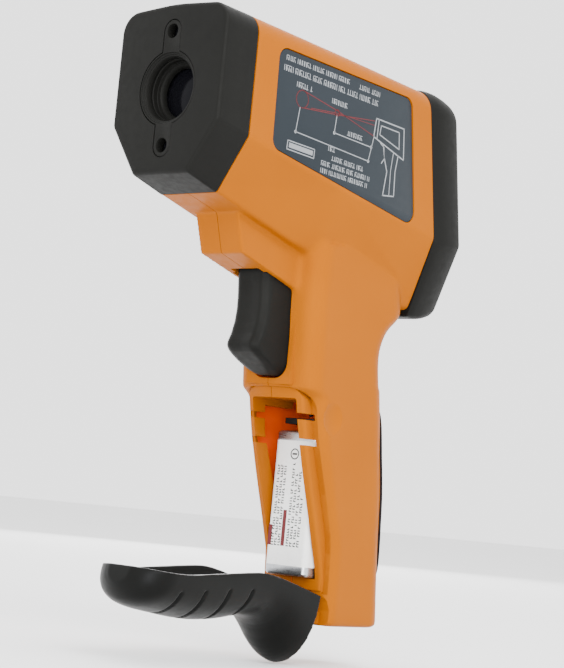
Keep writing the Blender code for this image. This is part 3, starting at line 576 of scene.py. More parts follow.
def rim_solid():
    """The raised rim that the battery door closes over, with the recess's rounded top."""
    rings = []
    for height in steps_between(RIM[0][0], RIM[-1][0], 30):
        crown, corner = curved(RIM, height)
        rings.append([(x, y, height) for x, y in rounded([
            (crown, 0, CROWN_R), (corner, 11.7, 1.3), (-4, 11.7, 1), (-4, -11.7, 1),
            (corner, -11.7, 1.3)])])
    half_outline = [(11.9, BAY_FLOOR - 3.6), (11.9, 69), *quarter(1, RIM_CORNER_Z, 4.4)[1:]]
    outline = half_outline + [(-y, z) for y, z in reversed(half_outline)]
    rim = combine(loft("rim", rings), "INTERSECT", prism("rim_top", outline, -30, 60, "X"))
    return bevelled(rim, 0.4, 2, 50)


def bay_solid():
    """The battery compartment: a roomy box with ribs left on its walls, and its opening."""
    room = combine(grip_low("bay_room", inset=1.8), "INTERSECT",
                   box("bay_block", (BAY_BACK, -13.3, BAY_FLOOR), (9.6, 13.3, BAY_TOP)))
    ribs = []
    for height in (22, 33, 44, 54.5):
        for side in (-1, 1):
            low, high = sorted((side * BAY_HALF, side * 15))
            ribs.append(box("rib", (-13, low, height), (14, high, height + 1.4)))
    room = combine(room, "DIFFERENCE", *ribs)
    mouth = rounded([(BAY_HALF, BAY_TOP, 0.8), (-BAY_HALF, BAY_TOP, 0.8), (-BAY_HALF, BAY_FLOOR + 0.1, 0.4),
                     (BAY_HALF, BAY_FLOOR + 0.1, 0.4)], 4)
    return combine(room, "UNION", prism("opening", mouth, BAY_BACK - 0.05, 50, "X"))


def front_room():
    """Space on each side of the battery between the rim and the compartment's walls."""
    pieces = []
    for side in SIDES:
        low, high = sorted((side * 8, side * 13))
        outline = [(8, 16), (8, 68.5), (23, 68.5), (22, 60), (18, 50), (14, 40), (9.6, 28)]
        pieces.append(prism("side_room", outline, low, high))
    return pieces


SHELL = 2.4                      # wall of the head
FOOT_R = 4.9                     # rounding of the trigger's and its slot's lower end, from the front
CATCHES = (65.15, 57.25)         # heights of the notches that the door's tabs go into
SCREWS = (("screw_nose", 54, 167), ("screw_tail", -1.2, 168), ("screw_shoulder", -3, 118),
          ("screw_grip", -4.4, 82), ("screw_base", -8, 7))


def side_depth(x, z):
    if z > 125:
        return side_y(x)
    if z > 110:
        return 19
    return 15.4 + (z - 15) * 0.0145


def label_outline(grow):
    corners = [(66.7 + grow, 173.4 + grow), (4.1 - grow, 170.8 + grow),
               (-2.6 - grow, 130.4 - grow), (66 + grow, 142.9 - grow)]
    return rounded([(x, z, 3.4 + grow) for x, z in corners], 12)


def side_plate(name, outline, side, low, high):
    """An outline of (x, z) that follows the head's side, between two levels out of its surface."""
    return loft(name, [[(x, side * (side_y(x) + level), z) for x, z in outline] for level in (low, high)])


def rim_grooves():
    """What is cut away between the rim and the recess's edge, on each side."""
    groove = []
    for side in SIDES:
        outline = [(side * 14.2, 10), *quarter(side, CORNER_Z, 6.9), *quarter(side, RIM_CORNER_Z, 4.2, -1),
                   (side * 11.5, 10)]
        rings = []
        block = prism("groove_block", outline, -10, 60, "X")
        for height in steps_between(9, 74.6, 24):
            ledge = curved(LEDGE, height)[0]
            rings.append([(ledge - 0.9, 0, height), (ledge - 0.9, side * 20, height),
                          (60, side * 20, height), (60, 0, height)])
        groove.append(combine(loft("groove", rings), "INTERSECT", block))
    return groove


def housing_openings():
    """Everything cut from the housing; the room in its head and neck comes first."""
    head_room = loft("head_room", [head_ring(BEZEL_X + 4, 0, SHELL), head_ring(33, TAIL_LEAN / 2, SHELL),
        head_ring(TAIL_X - 8, TAIL_LEAN, SHELL)])
    neck_room = grip_high("neck_room", 2.6, low=STEP_Z + 1)
    heel = [(10.2, -5), (9.7, 1.5), (9.7, 5), (10.4, 8), (11.2, 9.6), (11.2, 11), (60, 11), (60, -5)]
    slot = rounded([(7.35, 111, 0.6), (-7.35, 111, 0.6), (-7.35, 76.4, FOOT_R), (7.35, 76.4, FOOT_R)])
    cuts = [combine(head_room, "UNION", neck_room), bay_solid(), *front_room(),
            prism("heel", heel, -30, 30), prism("trigger_slot", slot, 22, 46.4, "X"),
            box("pivot_room", (31, -6, 103.5), (49, 6, 118.5)),
            box("wire_way", (4, -4, BAY_TOP - 1), (14, 4, STEP_Z + 3))]
    for height in CATCHES:
        for side in SIDES:
            ledge = curved(LEDGE, height)[0]
            low, high = sorted((side * (BAY_HALF - 0.6), side * 13))
            cuts.append(box("notch", (ledge - 3.4, low, height - 1), (ledge + 12, high, height + 1)))
    for side in SIDES:
        cuts.append(ball("thumb_dimple", 14, (19, side * (16.2 + 12.9), 65)))
        cuts.append(side_plate("label_pocket", label_outline(0.3), side, -1.1, 6))
    for _, x, z in SCREWS:
        deep = side_depth(x, z)
        cuts.append(cylinder("sink", 2.9, (x, 6 - deep, z), (x, -deep - 6, z), 48))
        cuts.append(cylinder("clear", 1.6, (x, -1, z), (x, -deep, z), 24))
    return cuts


# The two masks below pick the faces that take the painted bounce light and shade.
def in_battery_bay(x, y, z, normal):
    """Whether a face of the housing lines the battery compartment."""
    front = min(curved(RIM, min(max(z, 0), 73))[1] - 1.2, 15.5)
    inside = BAY_BACK - 0.2 < x < front and abs(y) < 13.4 and BAY_FLOOR - 0.1 < z < BAY_TOP + 0.1
    return inside and Vector((5 - x, -y, 0.5 * (BAY_FLOOR + BAY_TOP) - z)).dot(normal) > 0


def in_trigger_slot(x, y, z, normal):
    return abs(y) < 7.5 and 76 < z < 108 and 21.5 < x < 33.5 and normal.x < 0.5


def build_housing():
    body = combine(housing_outside(), "DIFFERENCE", *rim_grooves())
    body = combine(body, "UNION", rim_solid())
    room, *cuts = housing_openings()
    body = combine(body, "DIFFERENCE", room)
    body = combine(body, "UNION", box("slot_well", (22, -9.2, 74.6), (33, 9.2, 108)))
    body = combine(body, "DIFFERENCE", *cuts)
    tongue = box("tongue", (8.2, -10.5, 0.6), (HINGE_X, 10.5, 4.2))
    knuckle = cylinder("knuckle", 2.3, (HINGE_X, -10.7, HINGE_Z), (HINGE_X, 10.7, HINGE_Z), 48)
    body = combine(body, "UNION", combine(tongue, "UNION", knuckle))
    bore = cylinder("hinge_bore", 1.2, (HINGE_X, -12, HINGE_Z), (HINGE_X, 12, HINGE_Z), 32)
    body = combine(body, "DIFFERENCE", bore)
    for name, node, side in (("housing_left", "left_shell", 1), ("housing_right", "right_shell", -1)):
        half = link(name, body.data.copy())
        low, high = (SEAM, 60) if side > 0 else (-60, -SEAM)
        half = combine(half, "INTERSECT", box("half_space", (-80, low, -20), (140, high, 220)))
        shown(half, "orange", node, angle=38)
        # Second slot: painted bounce light and shade on the faces lining the battery compartment and the
        # trigger slot.
        half.data.materials.append(SKINS["bay"])
        for face in half.data.polygons:
            here = (*(face.center / MM), face.normal)
            if in_battery_bay(*here) or in_trigger_slot(*here):
                face.material_index = 1
    bpy.data.objects.remove(body)


# ---- side labels, pad and screws
PRINT_LEVEL = -0.31              # the label's face, from the head's side
LABEL_SLOPE = 2.6 / 62.6         # fall of the label's upper edge towards the back
LETTER, LETTER_GAP, STROKE = 0.75, 0.28, 0.24


class Print:
    """Flat ink marks collected on one side label."""

    def __init__(self, side):
        self.side = side
        self.bm = bmesh.new()

    def shape(self, points):
        low, high = ([self.bm.verts.new((x, self.side * (side_y(x) + PRINT_LEVEL + level), z))
                      for x, z in points] for level in (-0.05, 0.04))
        for index in range(len(points)):
            following = (index + 1) % len(points)
            self.bm.faces.new((low[index], low[following], high[following], high[index]))
        self.bm.faces.new(low[::-1])
        self.bm.faces.new(high)

    def line(self, points, width, closed=False):
        pairs = list(zip(points, points[1:])) + ([(points[-1], points[0])] if closed else [])
        for start, end in pairs:
            start, end = Vector(start), Vector(end)
            along = (end - start).normalized() * (width / 2)
            across = Vector((-along.y, along.x))
            start, end = start - along * 0.9, end + along * 0.9
            self.shape([start + across, start - across, end - across, end + across])

    def ring(self, x, z, radius, width, sides=32):
        self.line(circle(x, z, radius, sides), width, True)

    def row(self, start, end, height, dice):
        """A row of tiny blocks that stands for a line of print, without any letters."""
        x = start[0]
        while x > end:
            for _ in range(dice.randint(3, 8)):
                if x - LETTER < end:
                    break
                z = start[1] - (start[0] - x) * LABEL_SLOPE
                a, b, middle = x, x - LETTER, x - LETTER / 2
                high, low = z + height / 2, z - height / 2
                for points, width in (
                        (([(a, high), (a, low)], STROKE), ([(b, high), (b, low)], STROKE)),
                        (([(a, low), (a, high), (b, high)], STROKE), ([(middle, z), (b, low)], STROKE)),
                        (([(middle, high), (middle, low)], 0.26), ([(a, low + 0.1), (b, low + 0.1)], STROKE)),
                )[dice.randint(0, 2)]:
                    self.line(points, width)
                x -= LETTER + LETTER_GAP
            x -= 0.85

    def finish(self, name, skin):
        shown(make_object(name, self.bm), skin, angle=30)


def top_z(x):
    """Height of the label's upper edge."""
    return 173.4 - (66.7 - x) * LABEL_SLOPE


def build_labels():
    for name, node, side in (("label_left", "left_label", 1), ("label_right", "right_label", -1)):
        plate = bevelled(side_plate(name, label_outline(0), side, -0.8, PRINT_LEVEL), 0.12, 2, 50)
        shown(plate, "label", node)
    dice = random.Random(4)
    print_left_label(dice)
    print_right_label(dice)


def print_left_label(dice):
    """Rows of blocks, a plain measuring diagram, an outline of the instrument and its red beam."""
    white, red = Print(1), Print(1)
    for x, drop, end, height in ((63.4, 2.4, 34, 1.35), (29.6, 2.6, 19.6, 1.35), (64, 5.6, 19.4, 1.6),
            (57.8, 9.2, 50.6, 1.4), (41.5, 10.1, 34.2, 1.4), (33.2, 18.3, 26, 1.3), (41.2, 25, 36.8, 1.3),
            (39.4, 27.7, 23.6, 1.3), (43.9, 30.1, 20.6, 1.3), (43.9, 32.4, 21.6, 1.3)):
        white.row((x, top_z(x) - drop), end, height, dice)
    white.line([(55.6, 157.2), (56.6, 149.4), (22.4, 147), (20.6, 155.4)], 0.30)
    white.line([(38.8, 158.2), (39.3, 152.6), (21.6, 151.6)], 0.30)
    for x, z in ((56.6, 149.4), (22.4, 147), (39.3, 152.6), (21.6, 151.6)):
        white.shape(circle(x, z, 0.55))
    strokes = (
        (0.34, True, [(59.6, 146.2), (47.4, 145.7), (47.5, 142.9), (59.7, 143.5)]),
        (1.50, False, [(58.2, 144.85), (48.8, 144.4)]),
        (0.42, True, [(20.2, 161.2), (6.4, 160.6), (5.4, 150.6), (20.8, 155.2)]),
        (0.36, True, [(17.6, 159.4), (8.6, 159), (8, 153.6), (18, 156.4)]),
        (0.36, False, [(18.9, 161.1), (19.2, 154.8)]),
        (0.40, False, [(8.2, 151.4), (9, 146), (8.6, 138.2), (14, 137.6), (13, 145.4), (14.8, 149.6),
                       (15.8, 153.4)]),
        (0.28, False, [(10.6, 151.8), (11.2, 146), (11, 138.4)]),
        (0.34, False, [(17.2, 153.8), (15.4, 152.8), (14.8, 149.2), (16, 147.6)]),
    )
    for width, closed, points in strokes:
        white.line(points, width, closed)
    red.ring(54.9, 159.8, 2.7, 0.26)
    red.ring(38.8, 159, 1, 0.30, 20)
    for width, *heights in ((0.24, 162.4, 159.6, 155.4), (0.24, 157.2, 158.4, 160.2)):
        red.line(list(zip((54.4, 38.6, 21), heights)), width)
    red.line([(50.6, 157.9), (38.6, 158.9), (21, 158.8)], 0.20)
    white.finish("label_left_print", "ink")
    red.finish("label_left_beam", "red_ink")


def print_right_label(dice):
    """A frame, rows of blocks and a plain dial."""
    right = Print(-1)
    dial = (15.5, 158.5)
    right.line([(62.4, 169.6), (8.2, 167.2), (3, 136.6), (61.6, 147.2)], 0.35, True)
    for step in range(5):
        right.row((57, 164 - 3.4 * step), 26 + 4 * (step % 2), 1.3, dice)
    right.ring(*dial, 4.4, 0.4)
    right.line([dial, (13.2, 160.9)], 0.4)
    for angle in range(-30, 211, 30):
        along = Vector((math.cos(math.radians(angle)), math.sin(math.radians(angle))))
        right.line([Vector(dial) + along * reach for reach in (3.2, 4.1)], 0.3)
    right.finish("label_right_print", "ink")


def build_pad():
    """Rubber pad wrapped round the back of the grip, with shallow cross ribs."""
    low, high = 16, 72
    edge = []
    for height in steps_between(low, high, 48):
        wrap = max(math.sin(math.pi * (height - low) / (high - low)), 0) ** 0.6
        edge.append((curved(LEDGE, height)[2] + 0.5 + 3.3 * wrap, height))
    pad = combine(grip_low("grip_pad_soft", -0.6), "DIFFERENCE", grip_low("pad_core", 1.2))
    pad = combine(pad, "INTERSECT", prism("pad_patch", [(-40, high), (-40, low)] + edge, -30, 30))
    cuts = [box("pad_line", (-24, -9, 22 + 5 * k), (rear_x, 9, 22.9 + 5 * k))
            for k in range(8) for rear_x in [curved(LEDGE, 22.4 + 5 * k)[2] - 0.15]]
    pad = combine(pad, "DIFFERENCE", *cuts)
    shown(bevelled(pad, 0.12, 2, 45), "pad", "grip_pad")


def build_screws():
    for name, x, z in SCREWS:
        seat = 5.7 - side_depth(x, z)
        profile = [(0, 0), (0, 2.1), (0.25, 2.45), (0.6, 2.55), (1.8, 2.55), (1.8, 1.3), (12, 1.3), (12, 0)]
        turn = Matrix.Translation((x, seat - 1.8, z)) @ Matrix.Rotation(math.pi / 2, 4, "Z")
        made = turned(name + "_visual", profile, 0, 48)
        made.data.transform(Matrix.Scale(MM, 4) @ turn @ Matrix.Scale(1 / MM, 4))
        cross = [box("cross", (x - a, seat - 2.6, z - b), (x + a, seat - 0.8, z + b))
                 for a, b in ((1.5, 0.32), (0.32, 1.5))]
        made = combine(made, "DIFFERENCE", *cross)
        shown(made, "steel", name)


# ---- nose
def optics_outline(grow):
    """A disc with a round-ended strip through it, as (y, z)."""
    radius, strip = 11.5 + grow, 3.5 + grow
    meet = math.asin(strip / radius)
    points = []
    for turn in (0, math.pi):
        for step in range(41):
            angle = meet + (math.pi - 2 * meet) * step / 40 - math.pi / 2 + turn
            points.append((radius * math.cos(angle), AXIS_Z + radius * math.sin(angle)))
        for step in range(25):
            angle = math.pi * step / 24 + turn
            points.append((strip * math.cos(angle), AXIS_Z + math.copysign(LASER_OFFSET, math.pi / 2 - turn)
                           + strip * math.sin(angle)))
    return points


def laser_bores(radius, start, end):
    return [cylinder("laser_bore", radius, (start, 0, AXIS_Z + offset), (end, 0, AXIS_Z + offset), 48)
            for offset in (LASER_OFFSET, -LASER_OFFSET)]


def build_nose():
    rings = [head_ring(BEZEL_X + 0.22, 0, 0.25), head_ring(BEZEL_X + 0.5), head_ring((BEZEL_X + FACE_X) / 2)]
    for step in range(7):
        angle = math.pi / 2 * step / 6
        rings.append(head_ring(FACE_X - 1.3 + 1.3 * math.sin(angle), 0, 1.3 * (1 - math.cos(angle))))
    bezel = loft("nose_bezel", rings)
    lip = loft("bezel_lip", [head_ring(BEZEL_X - 3, 0, 2.7), head_ring(BEZEL_X + 4, 0, 2.7)])
    room = loft("bezel_room", [head_ring(BEZEL_X - 4, 0, 4.4), head_ring(FACE_X - 3.4, 0, 4.4)])
    opening = prism("optics_opening", optics_outline(0.16), 80, 95, "X")
    bezel = combine(combine(bezel, "UNION", lip), "DIFFERENCE", room, opening)
    shown(bezel, "black", "front_bezel", angle=28)

    insert = loft("optics_insert", [[(FACE_X - depth, y, z) for y, z in optics_outline(grow)]
                                    for depth, grow in ((3, 0), (0.25, 0), (0, -0.25))])
    recess = turned("recess", [(FACE_X - depth, radius) for depth, radius in (
        (-1, 0), (-1, 10.9), (0.1, 10.9), (0.5, 10.7), (0.55, 10.35), (0.9, 10.25), (1, 9.95), (1.5, 9.7),
        (4, 9.55), (4, 0))])
    insert = combine(insert, "DIFFERENCE", recess, *laser_bores(2.25, 80, 95))
    shown(bevelled(insert, 0.12, 2, 55), "black", "optics_plate", angle=28)

    tube = [(86.6, 10.4), (66, 10.4), (66, 6.2), (68, 6.2), (68, 8), (78.4, 8), (78.4, 9.2),
            (84.6, 9.2), (84.8, 9.35), (86.4, 9.35), (86.6, 9.5)]
    shown(turned("bore_sleeve", tube), "black", "lens_tube")
    clamp = [(84.5, 9.15), (82.4, 9.15), (82.4, 7.6), (83.3, 7.6), (84.1, 7.9), (84.5, 8.3)]
    shown(turned("lens_clamp", clamp), "black", "lens_ring")
    dome = [(82.1 - 0.0125 * r * r, r) for r in (0, 1.5, 3, 4.5, 6, 7.5, 8.9)] + [(79.1, 8.9), (79.1, 0)]
    shown(turned("lens_glass", dome), "lens", "lens")
    laser = [(84.5, 0), (84.5, 1.2), (86.3, 1.7), (86.5, 1.9), (86.5, 2.8), (86.3, 3), (71, 3), (71, 0)]
    for where, offset in (("upper", LASER_OFFSET), ("lower", -LASER_OFFSET)):
        shown(turned("laser_" + where, laser, AXIS_Z + offset, 48), "lens", where + "_laser")


# ---- rear bezel, display and keys
def rear_frame():
    """Matrix of the rear face: x to its right, y up its slope, z out of it."""
    out = Vector((-1, 0, TAIL_LEAN)).normalized()
    right = Vector((0, -1, 0))
    return (Matrix.Translation((REAR_X, 0, AXIS_Z))
            @ Matrix((right, out.cross(right), out)).transposed().to_4x4())


WINDOW_HALF, WINDOW_LOW, WINDOW_HIGH = 17, -8, 14.8
KEYS = (("key_down", -11.5, -17.5, 3.7, 2.9), ("key_mode", 0, -17.5, 4.4, 2.9),
        ("key_up", 11.5, -17.5, 3.7, 2.9), ("key_light", 0, -27.5, 5.2, 2.7))


def window_ring(grow, level, radius=2):
    half = WINDOW_HALF + grow
    return oblong((-half, WINDOW_LOW - grow), (half, WINDOW_HIGH + grow), radius, level)


def key_ring(x, y, half_x, half_y, grow, level):
    a, b = half_x + grow, half_y + grow
    return oblong((x - a, y - b), (x + a, y + b), b * 0.8, level)


def key_symbol(name, x, y):
    """Raised generic sign on a key: an arrow, two bars or a sun."""
    if name == "key_down":
        return [[(x - 1.5, y + 0.8), (x + 1.5, y + 0.8), (x, y - 1.1)]]
    if name == "key_up":
        return [[(x - 1.5, y - 0.8), (x + 1.5, y - 0.8), (x, y + 1.1)]]
    if name == "key_mode":
        return [[(x + u, y + v + shift) for u, v in ((-1.6, 0.3), (-1.6, -0.3), (1.6, -0.3), (1.6, 0.3))]
                for shift in (0.75, -0.75)]
    rays = []
    for k in range(8):
        a = math.tau * k / 8
        along, across = Vector((math.cos(a), math.sin(a))), Vector((-math.sin(a), math.cos(a))) * 0.14
        here = Vector((x, y))
        near, far = here + along * 1.05, here + along * 1.65
        rays.append([near + across, far + across, far - across, near - across])
    return [circle(x, y, 0.75, 16), *rays]


def build_rear():
    lean, place = TAIL_LEAN, rear_frame()
    rings = [head_ring(TAIL_X - 0.22, lean, 0.3), head_ring(TAIL_X - 0.55, lean, 0)]
    for x, inset in ((-11, -0.6), (-14, -0.9), (-17.5, -0.75), (-20.5, -0.3), (-21.7, 0.15), (-22.6, 0.8),
            (-23.2, 1.6), (REAR_X, 2.5)):
        rings.append(head_ring(x, lean, inset))
    bezel = loft("tail_bezel", rings)
    room = loft("rear_room", [head_ring(TAIL_X + 3, lean, SHELL), head_ring(REAR_X + 2.6, lean, 3.2)])
    cuts = [loft("window_opening", [window_ring(0, -6), window_ring(0, -0.6), window_ring(0.9, 0.35)], place)]
    for _, *key in KEYS:
        rows = ((0.3, -6), (0.3, -0.3), (0.7, 0.3))
        cuts.append(loft("key_hole", [key_ring(*key, *row) for row in rows], place))
    bezel = combine(bezel, "DIFFERENCE", room, *cuts)
    shown(bezel, "black", "rear_bezel", angle=28)
    pane = loft("display_pane", [window_ring(-0.2, -2, 1.8), window_ring(-0.2, -0.75, 1.8),
        window_ring(-0.35, -0.6, 1.8)], place)
    shown(pane, "glass", "display_window")
    screen = loft("display_cell", [window_ring(-1.4, -5.6, 0.6), window_ring(-1.4, -2.6, 0.6)], place)
    shown(bevelled(screen, 0.2, 2), "lcd", "display_module")
    bars = []
    level, upright = (4.4, 0.9), (0.9, 3.9)
    for column in (-8.6, 0, 8.6):
        for u, v, (wide, tall) in ((0, 9.6, level), (0, 4.7, level), (0, -0.2, level), (-2.8, 7.2, upright),
                                   (2.8, 7.2, upright), (-2.8, 2.2, upright), (2.8, 2.2, upright)):
            bars.append(box("segment", (column + u - wide / 2, v - tall / 2 + 2, -2.62),
                            (column + u + wide / 2, v + tall / 2 + 2, -2.56), place))
    shown(joined("display_segments", bars), "grey_ink")
    for name, *key in KEYS:
        rows = ((0, -3.4), (0, 0.3), (-0.12, 0.62), (-0.4, 0.82), (-0.85, 0.9), (-1.6, 0.86))
        cap = loft(name + "_cap", [key_ring(*key, *row) for row in rows], place)
        shown(cap, "rubber", name, body=name)
        signs = [prism("sign", outline, 0.80, 0.97, "Z", place) for outline in key_symbol(name, *key[:2])]
        shown(joined(name + "_sign", signs), "ink", body=name)


# ---- trigger
TRIGGER_X, TRIGGER_Z = 40, 112.5
EYE_R = 3.4                      # the trigger's eye round its pin
# height: front face of the trigger
TRIGGER_FRONT = ((77.1, 35.6), (77.6, 36.8), (78.6, 38.6), (79.8, 40.6), (81, 42.8), (82.2, 44.9),
    (83.2, 46.5), (84.2, 47.6), (85.2, 48.1), (86.6, 47.8), (89, 46.7), (93, 45.6), (97, 45.2),
    (101, 45.3), (105, 45.7), (108, 46), (109.8, 46.1))


def build_trigger():
    rings = []
    for height, front in TRIGGER_FRONT:
        back = 31.6 - max(0, height - 80) * 0.07 + max(0, height - 106) * 2.4
        dish = 0.45 if 83.5 < height < 107 else 0.05
        foot = max(0, 81.7 - height)
        half = 7 - FOOT_R + math.sqrt(FOOT_R ** 2 - foot ** 2)
        flat = half - 2.4
        outline = rounded([(front - dish, 0, 14), (front, flat, 1.6), (front - 1.9, half, 1.6),
            (back, half, 0.8), (back, -half, 0.8), (front - 1.9, -half, 1.6), (front, -flat, 1.6)], 5)
        rings.append([(x, y, height) for x, y in outline])
    lever = loft("trigger_lever", rings)
    crest = [(TRIGGER_X + EYE_R * math.cos(math.radians(a)), TRIGGER_Z + EYE_R * math.sin(math.radians(a)))
             for a in range(180, -1, -15)]
    arm = prism("trigger_arm", [(44.4, 100), (31, 100), (31.4, 105), *crest], -5.4, 5.4)
    lever = softened(combine(lever, "UNION", arm), 0.32, 9)
    bore = cylinder("pin_bore", 1.3, (TRIGGER_X, -9, TRIGGER_Z), (TRIGGER_X, 9, TRIGGER_Z), 32)
    lever = combine(lever, "DIFFERENCE", bore)
    shown(lever, "black", "trigger", body="trigger")


# ---- battery
BATTERY_BACK, BATTERY_FRONT, BATTERY_HALF = -9.4, 17.1, 8.75
BATTERY_LOW, BATTERY_HIGH = 14.7, 61.1
PRINT_LOW = 24                   # where the print on its front starts
STUD_SHIFT = 6.35                # each terminal, from the battery's middle


def battery_ring(level, grow=0):
    half = BATTERY_HALF + grow
    return oblong((BATTERY_BACK - grow, -half), (BATTERY_FRONT + grow, half), 2, level)


def build_battery():
    rows = [(BATTERY_LOW, -1), (BATTERY_LOW + 0.25, -0.35), (BATTERY_LOW + 0.9, 0), (BATTERY_LOW + 3.2, 0),
            (BATTERY_LOW + 3.3, -0.12), (BATTERY_HIGH - 3.3, -0.12), (BATTERY_HIGH - 3.2, 0),
            (BATTERY_HIGH - 0.9, 0), (BATTERY_HIGH - 0.25, -0.35), (BATTERY_HIGH, -1)]
    cell = loft("battery_cell", [battery_ring(z, grow) for z, grow in rows])
    middle = (BATTERY_BACK + BATTERY_FRONT) / 2
    studs = [turned_up("stud", middle + shift, profile) for shift, profile in (
        (STUD_SHIFT, [(0, 60.6), (2.7, 60.6), (2.7, 62.4), (2.4, 62.9), (0, 62.9)]),
        (-STUD_SHIFT, [(0, 60.6), (3.4, 60.6), (3.4, 62.6), (3.7, 63), (2.9, 63), (2.6, 62), (0, 62)]))]
    cell = combine(cell, "UNION", *studs)
    shown(cell, "silver", "battery")
    wrap = loft("battery_wrap", [battery_ring(z, g) for z, g in ((BATTERY_LOW + 3, -0.4),
        (BATTERY_LOW + 3.05, -0.02), (BATTERY_HIGH - 3.05, -0.02), (BATTERY_HIGH - 3, -0.4))])
    shown(wrap, "white")
    build_battery_print()
    cups = [cylinder("snap_cup", radius, (middle + shift, 0, 61.9), (middle + shift, 0, 64), 48)
            for radius, shift in ((3.9, STUD_SHIFT), (4.1, -STUD_SHIFT))]
    snap = combine(box("snap_cap", (-8.4, -6.1, 63.3), (16.1, 6.1, 65.2)), "UNION", *cups)
    well = cylinder("well", 3, (middle + STUD_SHIFT, 0, 61), (middle + STUD_SHIFT, 0, 63.2), 48)
    shown(bevelled(combine(snap, "DIFFERENCE", well), 0.5, 3, 50), "dark", "battery_snap")


def build_battery_print():
    """Generic marks on the battery's front: columns of tiny blocks, two red bars and a minus sign."""
    dice = random.Random(11)
    face = BATTERY_FRONT - 0.02
    marks, bars = [], []

    def mark(store, left, right, low, high):
        store.append(box("mark", (face - 0.05, left, low), (face + 0.03, right, high)))

    for y, high in ((-6, 50), (-4.6, 50), (-3.2, 50), (0.4, 51), (1.9, 48), (3.4, 49), (4.9, 40)):
        z = PRINT_LOW
        while z < high:
            for _ in range(dice.randint(2, 7)):
                if z + 0.7 > high:
                    break
                mark(marks, y - 0.5, y + 0.5, z, z + 0.34)
                if dice.random() < 0.7:
                    side = 0.5 if dice.random() < 0.5 else -0.16
                    mark(marks, y + side - 0.34, y + side, z, z + 0.66)
                z += 0.85
            z += 0.8
    for y, high in ((-7.2, 30.5), (-1.6, 35.5)):
        mark(bars, y - 0.75, y + 0.75, PRINT_LOW, high)
    shown(joined("battery_marks", marks), "grey_ink")
    shown(joined("battery_bars", bars), "red_ink")
    sign = turned("battery_sign", [(face + 0.03, 1.4), (face + 0.03, 1.8), (face - 0.05, 1.8),
        (face - 0.05, 1.4)], 53.6, 48, 0.2)
    bar = box("minus", (face - 0.05, -0.8, 53.3), (face + 0.03, 1.2, 53.9))
    shown(joined("battery_sign", [sign, bar]), "grey_ink")


# ---- battery door
DOOR_TIP, TIP_ROUND, TIP_HOLE_Z = 73.9, 11.5, 64.6
# height: crown of the shut door's outer skin
DOOR_CROWN = (
    (-6, 33.6), (-1.6, 33.4), (1.4, 32.9), (5, 31), (8.5, 28.2), (13, 25.4), (18.9, 24.3), (25, 26.4),
    (34, 30.2), (44, 33.1), (57, 35.1), (66, 36), (70, 35.2), (72.4, 32.8), (73.4, 30.8),
)
# height: crown of the hollow inside it
DOOR_ROOM = (
    (-1.2, 30.6), (1.4, 30.3), (4.8, 28.8), (8.4, 26.1), (13, 23.5), (18.9, 22.5), (25, 24.6), (34, 28.3),
    (44, 31), (52, 32), (56, 31.2), (59, 30), (68, 29.8), (71.6, 29.2),
)


def door_ring(height, crown, half, rear, back):
    """The door's outline at a height: an arched front, and straight sides run back by a distance."""
    points = []
    for step in range(49):
        angle = math.pi * (step / 48 - 0.5)
        reach = (crown - rear) * max(math.cos(angle), 0) ** 0.8
        points.append((rear + reach, half * math.sin(angle), height))
    return [(rear - back, -half, height), *points, (rear - back, half, height)]


def door_half(height, inset=0):
    """Half the door's width at a height, rounded off towards its tip."""
    round_off = max(0, height - (DOOR_TIP - inset - TIP_ROUND)) / TIP_ROUND
    return (14 - inset) * math.sqrt(max(1 - min(round_off, 0.995) ** 2.4, 0))


def door_solid(name, heights, table, inset, floor, shift, back):
    """A solid of the door's shape, from its table of crowns back past the ledge."""
    return loft(name, [door_ring(h, curved(table, h)[0], door_half(h, inset),
                                 curved(LEDGE, max(h, floor))[0] - shift, back) for h in heights])


def grip_grooves():
    """Slanting finger grooves across the door's front, in pairs."""
    grooves = []
    for height in (26.5, 36.3, 46, 55.6):
        for side in SIDES:
            low, high = sorted((0, side * 20))
            core = [door_ring(h, curved(DOOR_CROWN, h)[0] - 0.75, door_half(h) - 0.75, curved(LEDGE, h)[0], 6)
                    for h in (height - 4, height, height + 4)]
            tilt = Matrix.Translation((0, 0, height)) @ Matrix.Rotation(math.radians(side * 14), 4, "X")
            start = curved(LEDGE, height)[0] + 5.6
            slab = box("groove_slab", (start, low, -0.55), (60, high, 0.55), tilt)
            grooves.append(combine(slab, "DIFFERENCE", loft("groove_core", core)))
    return grooves


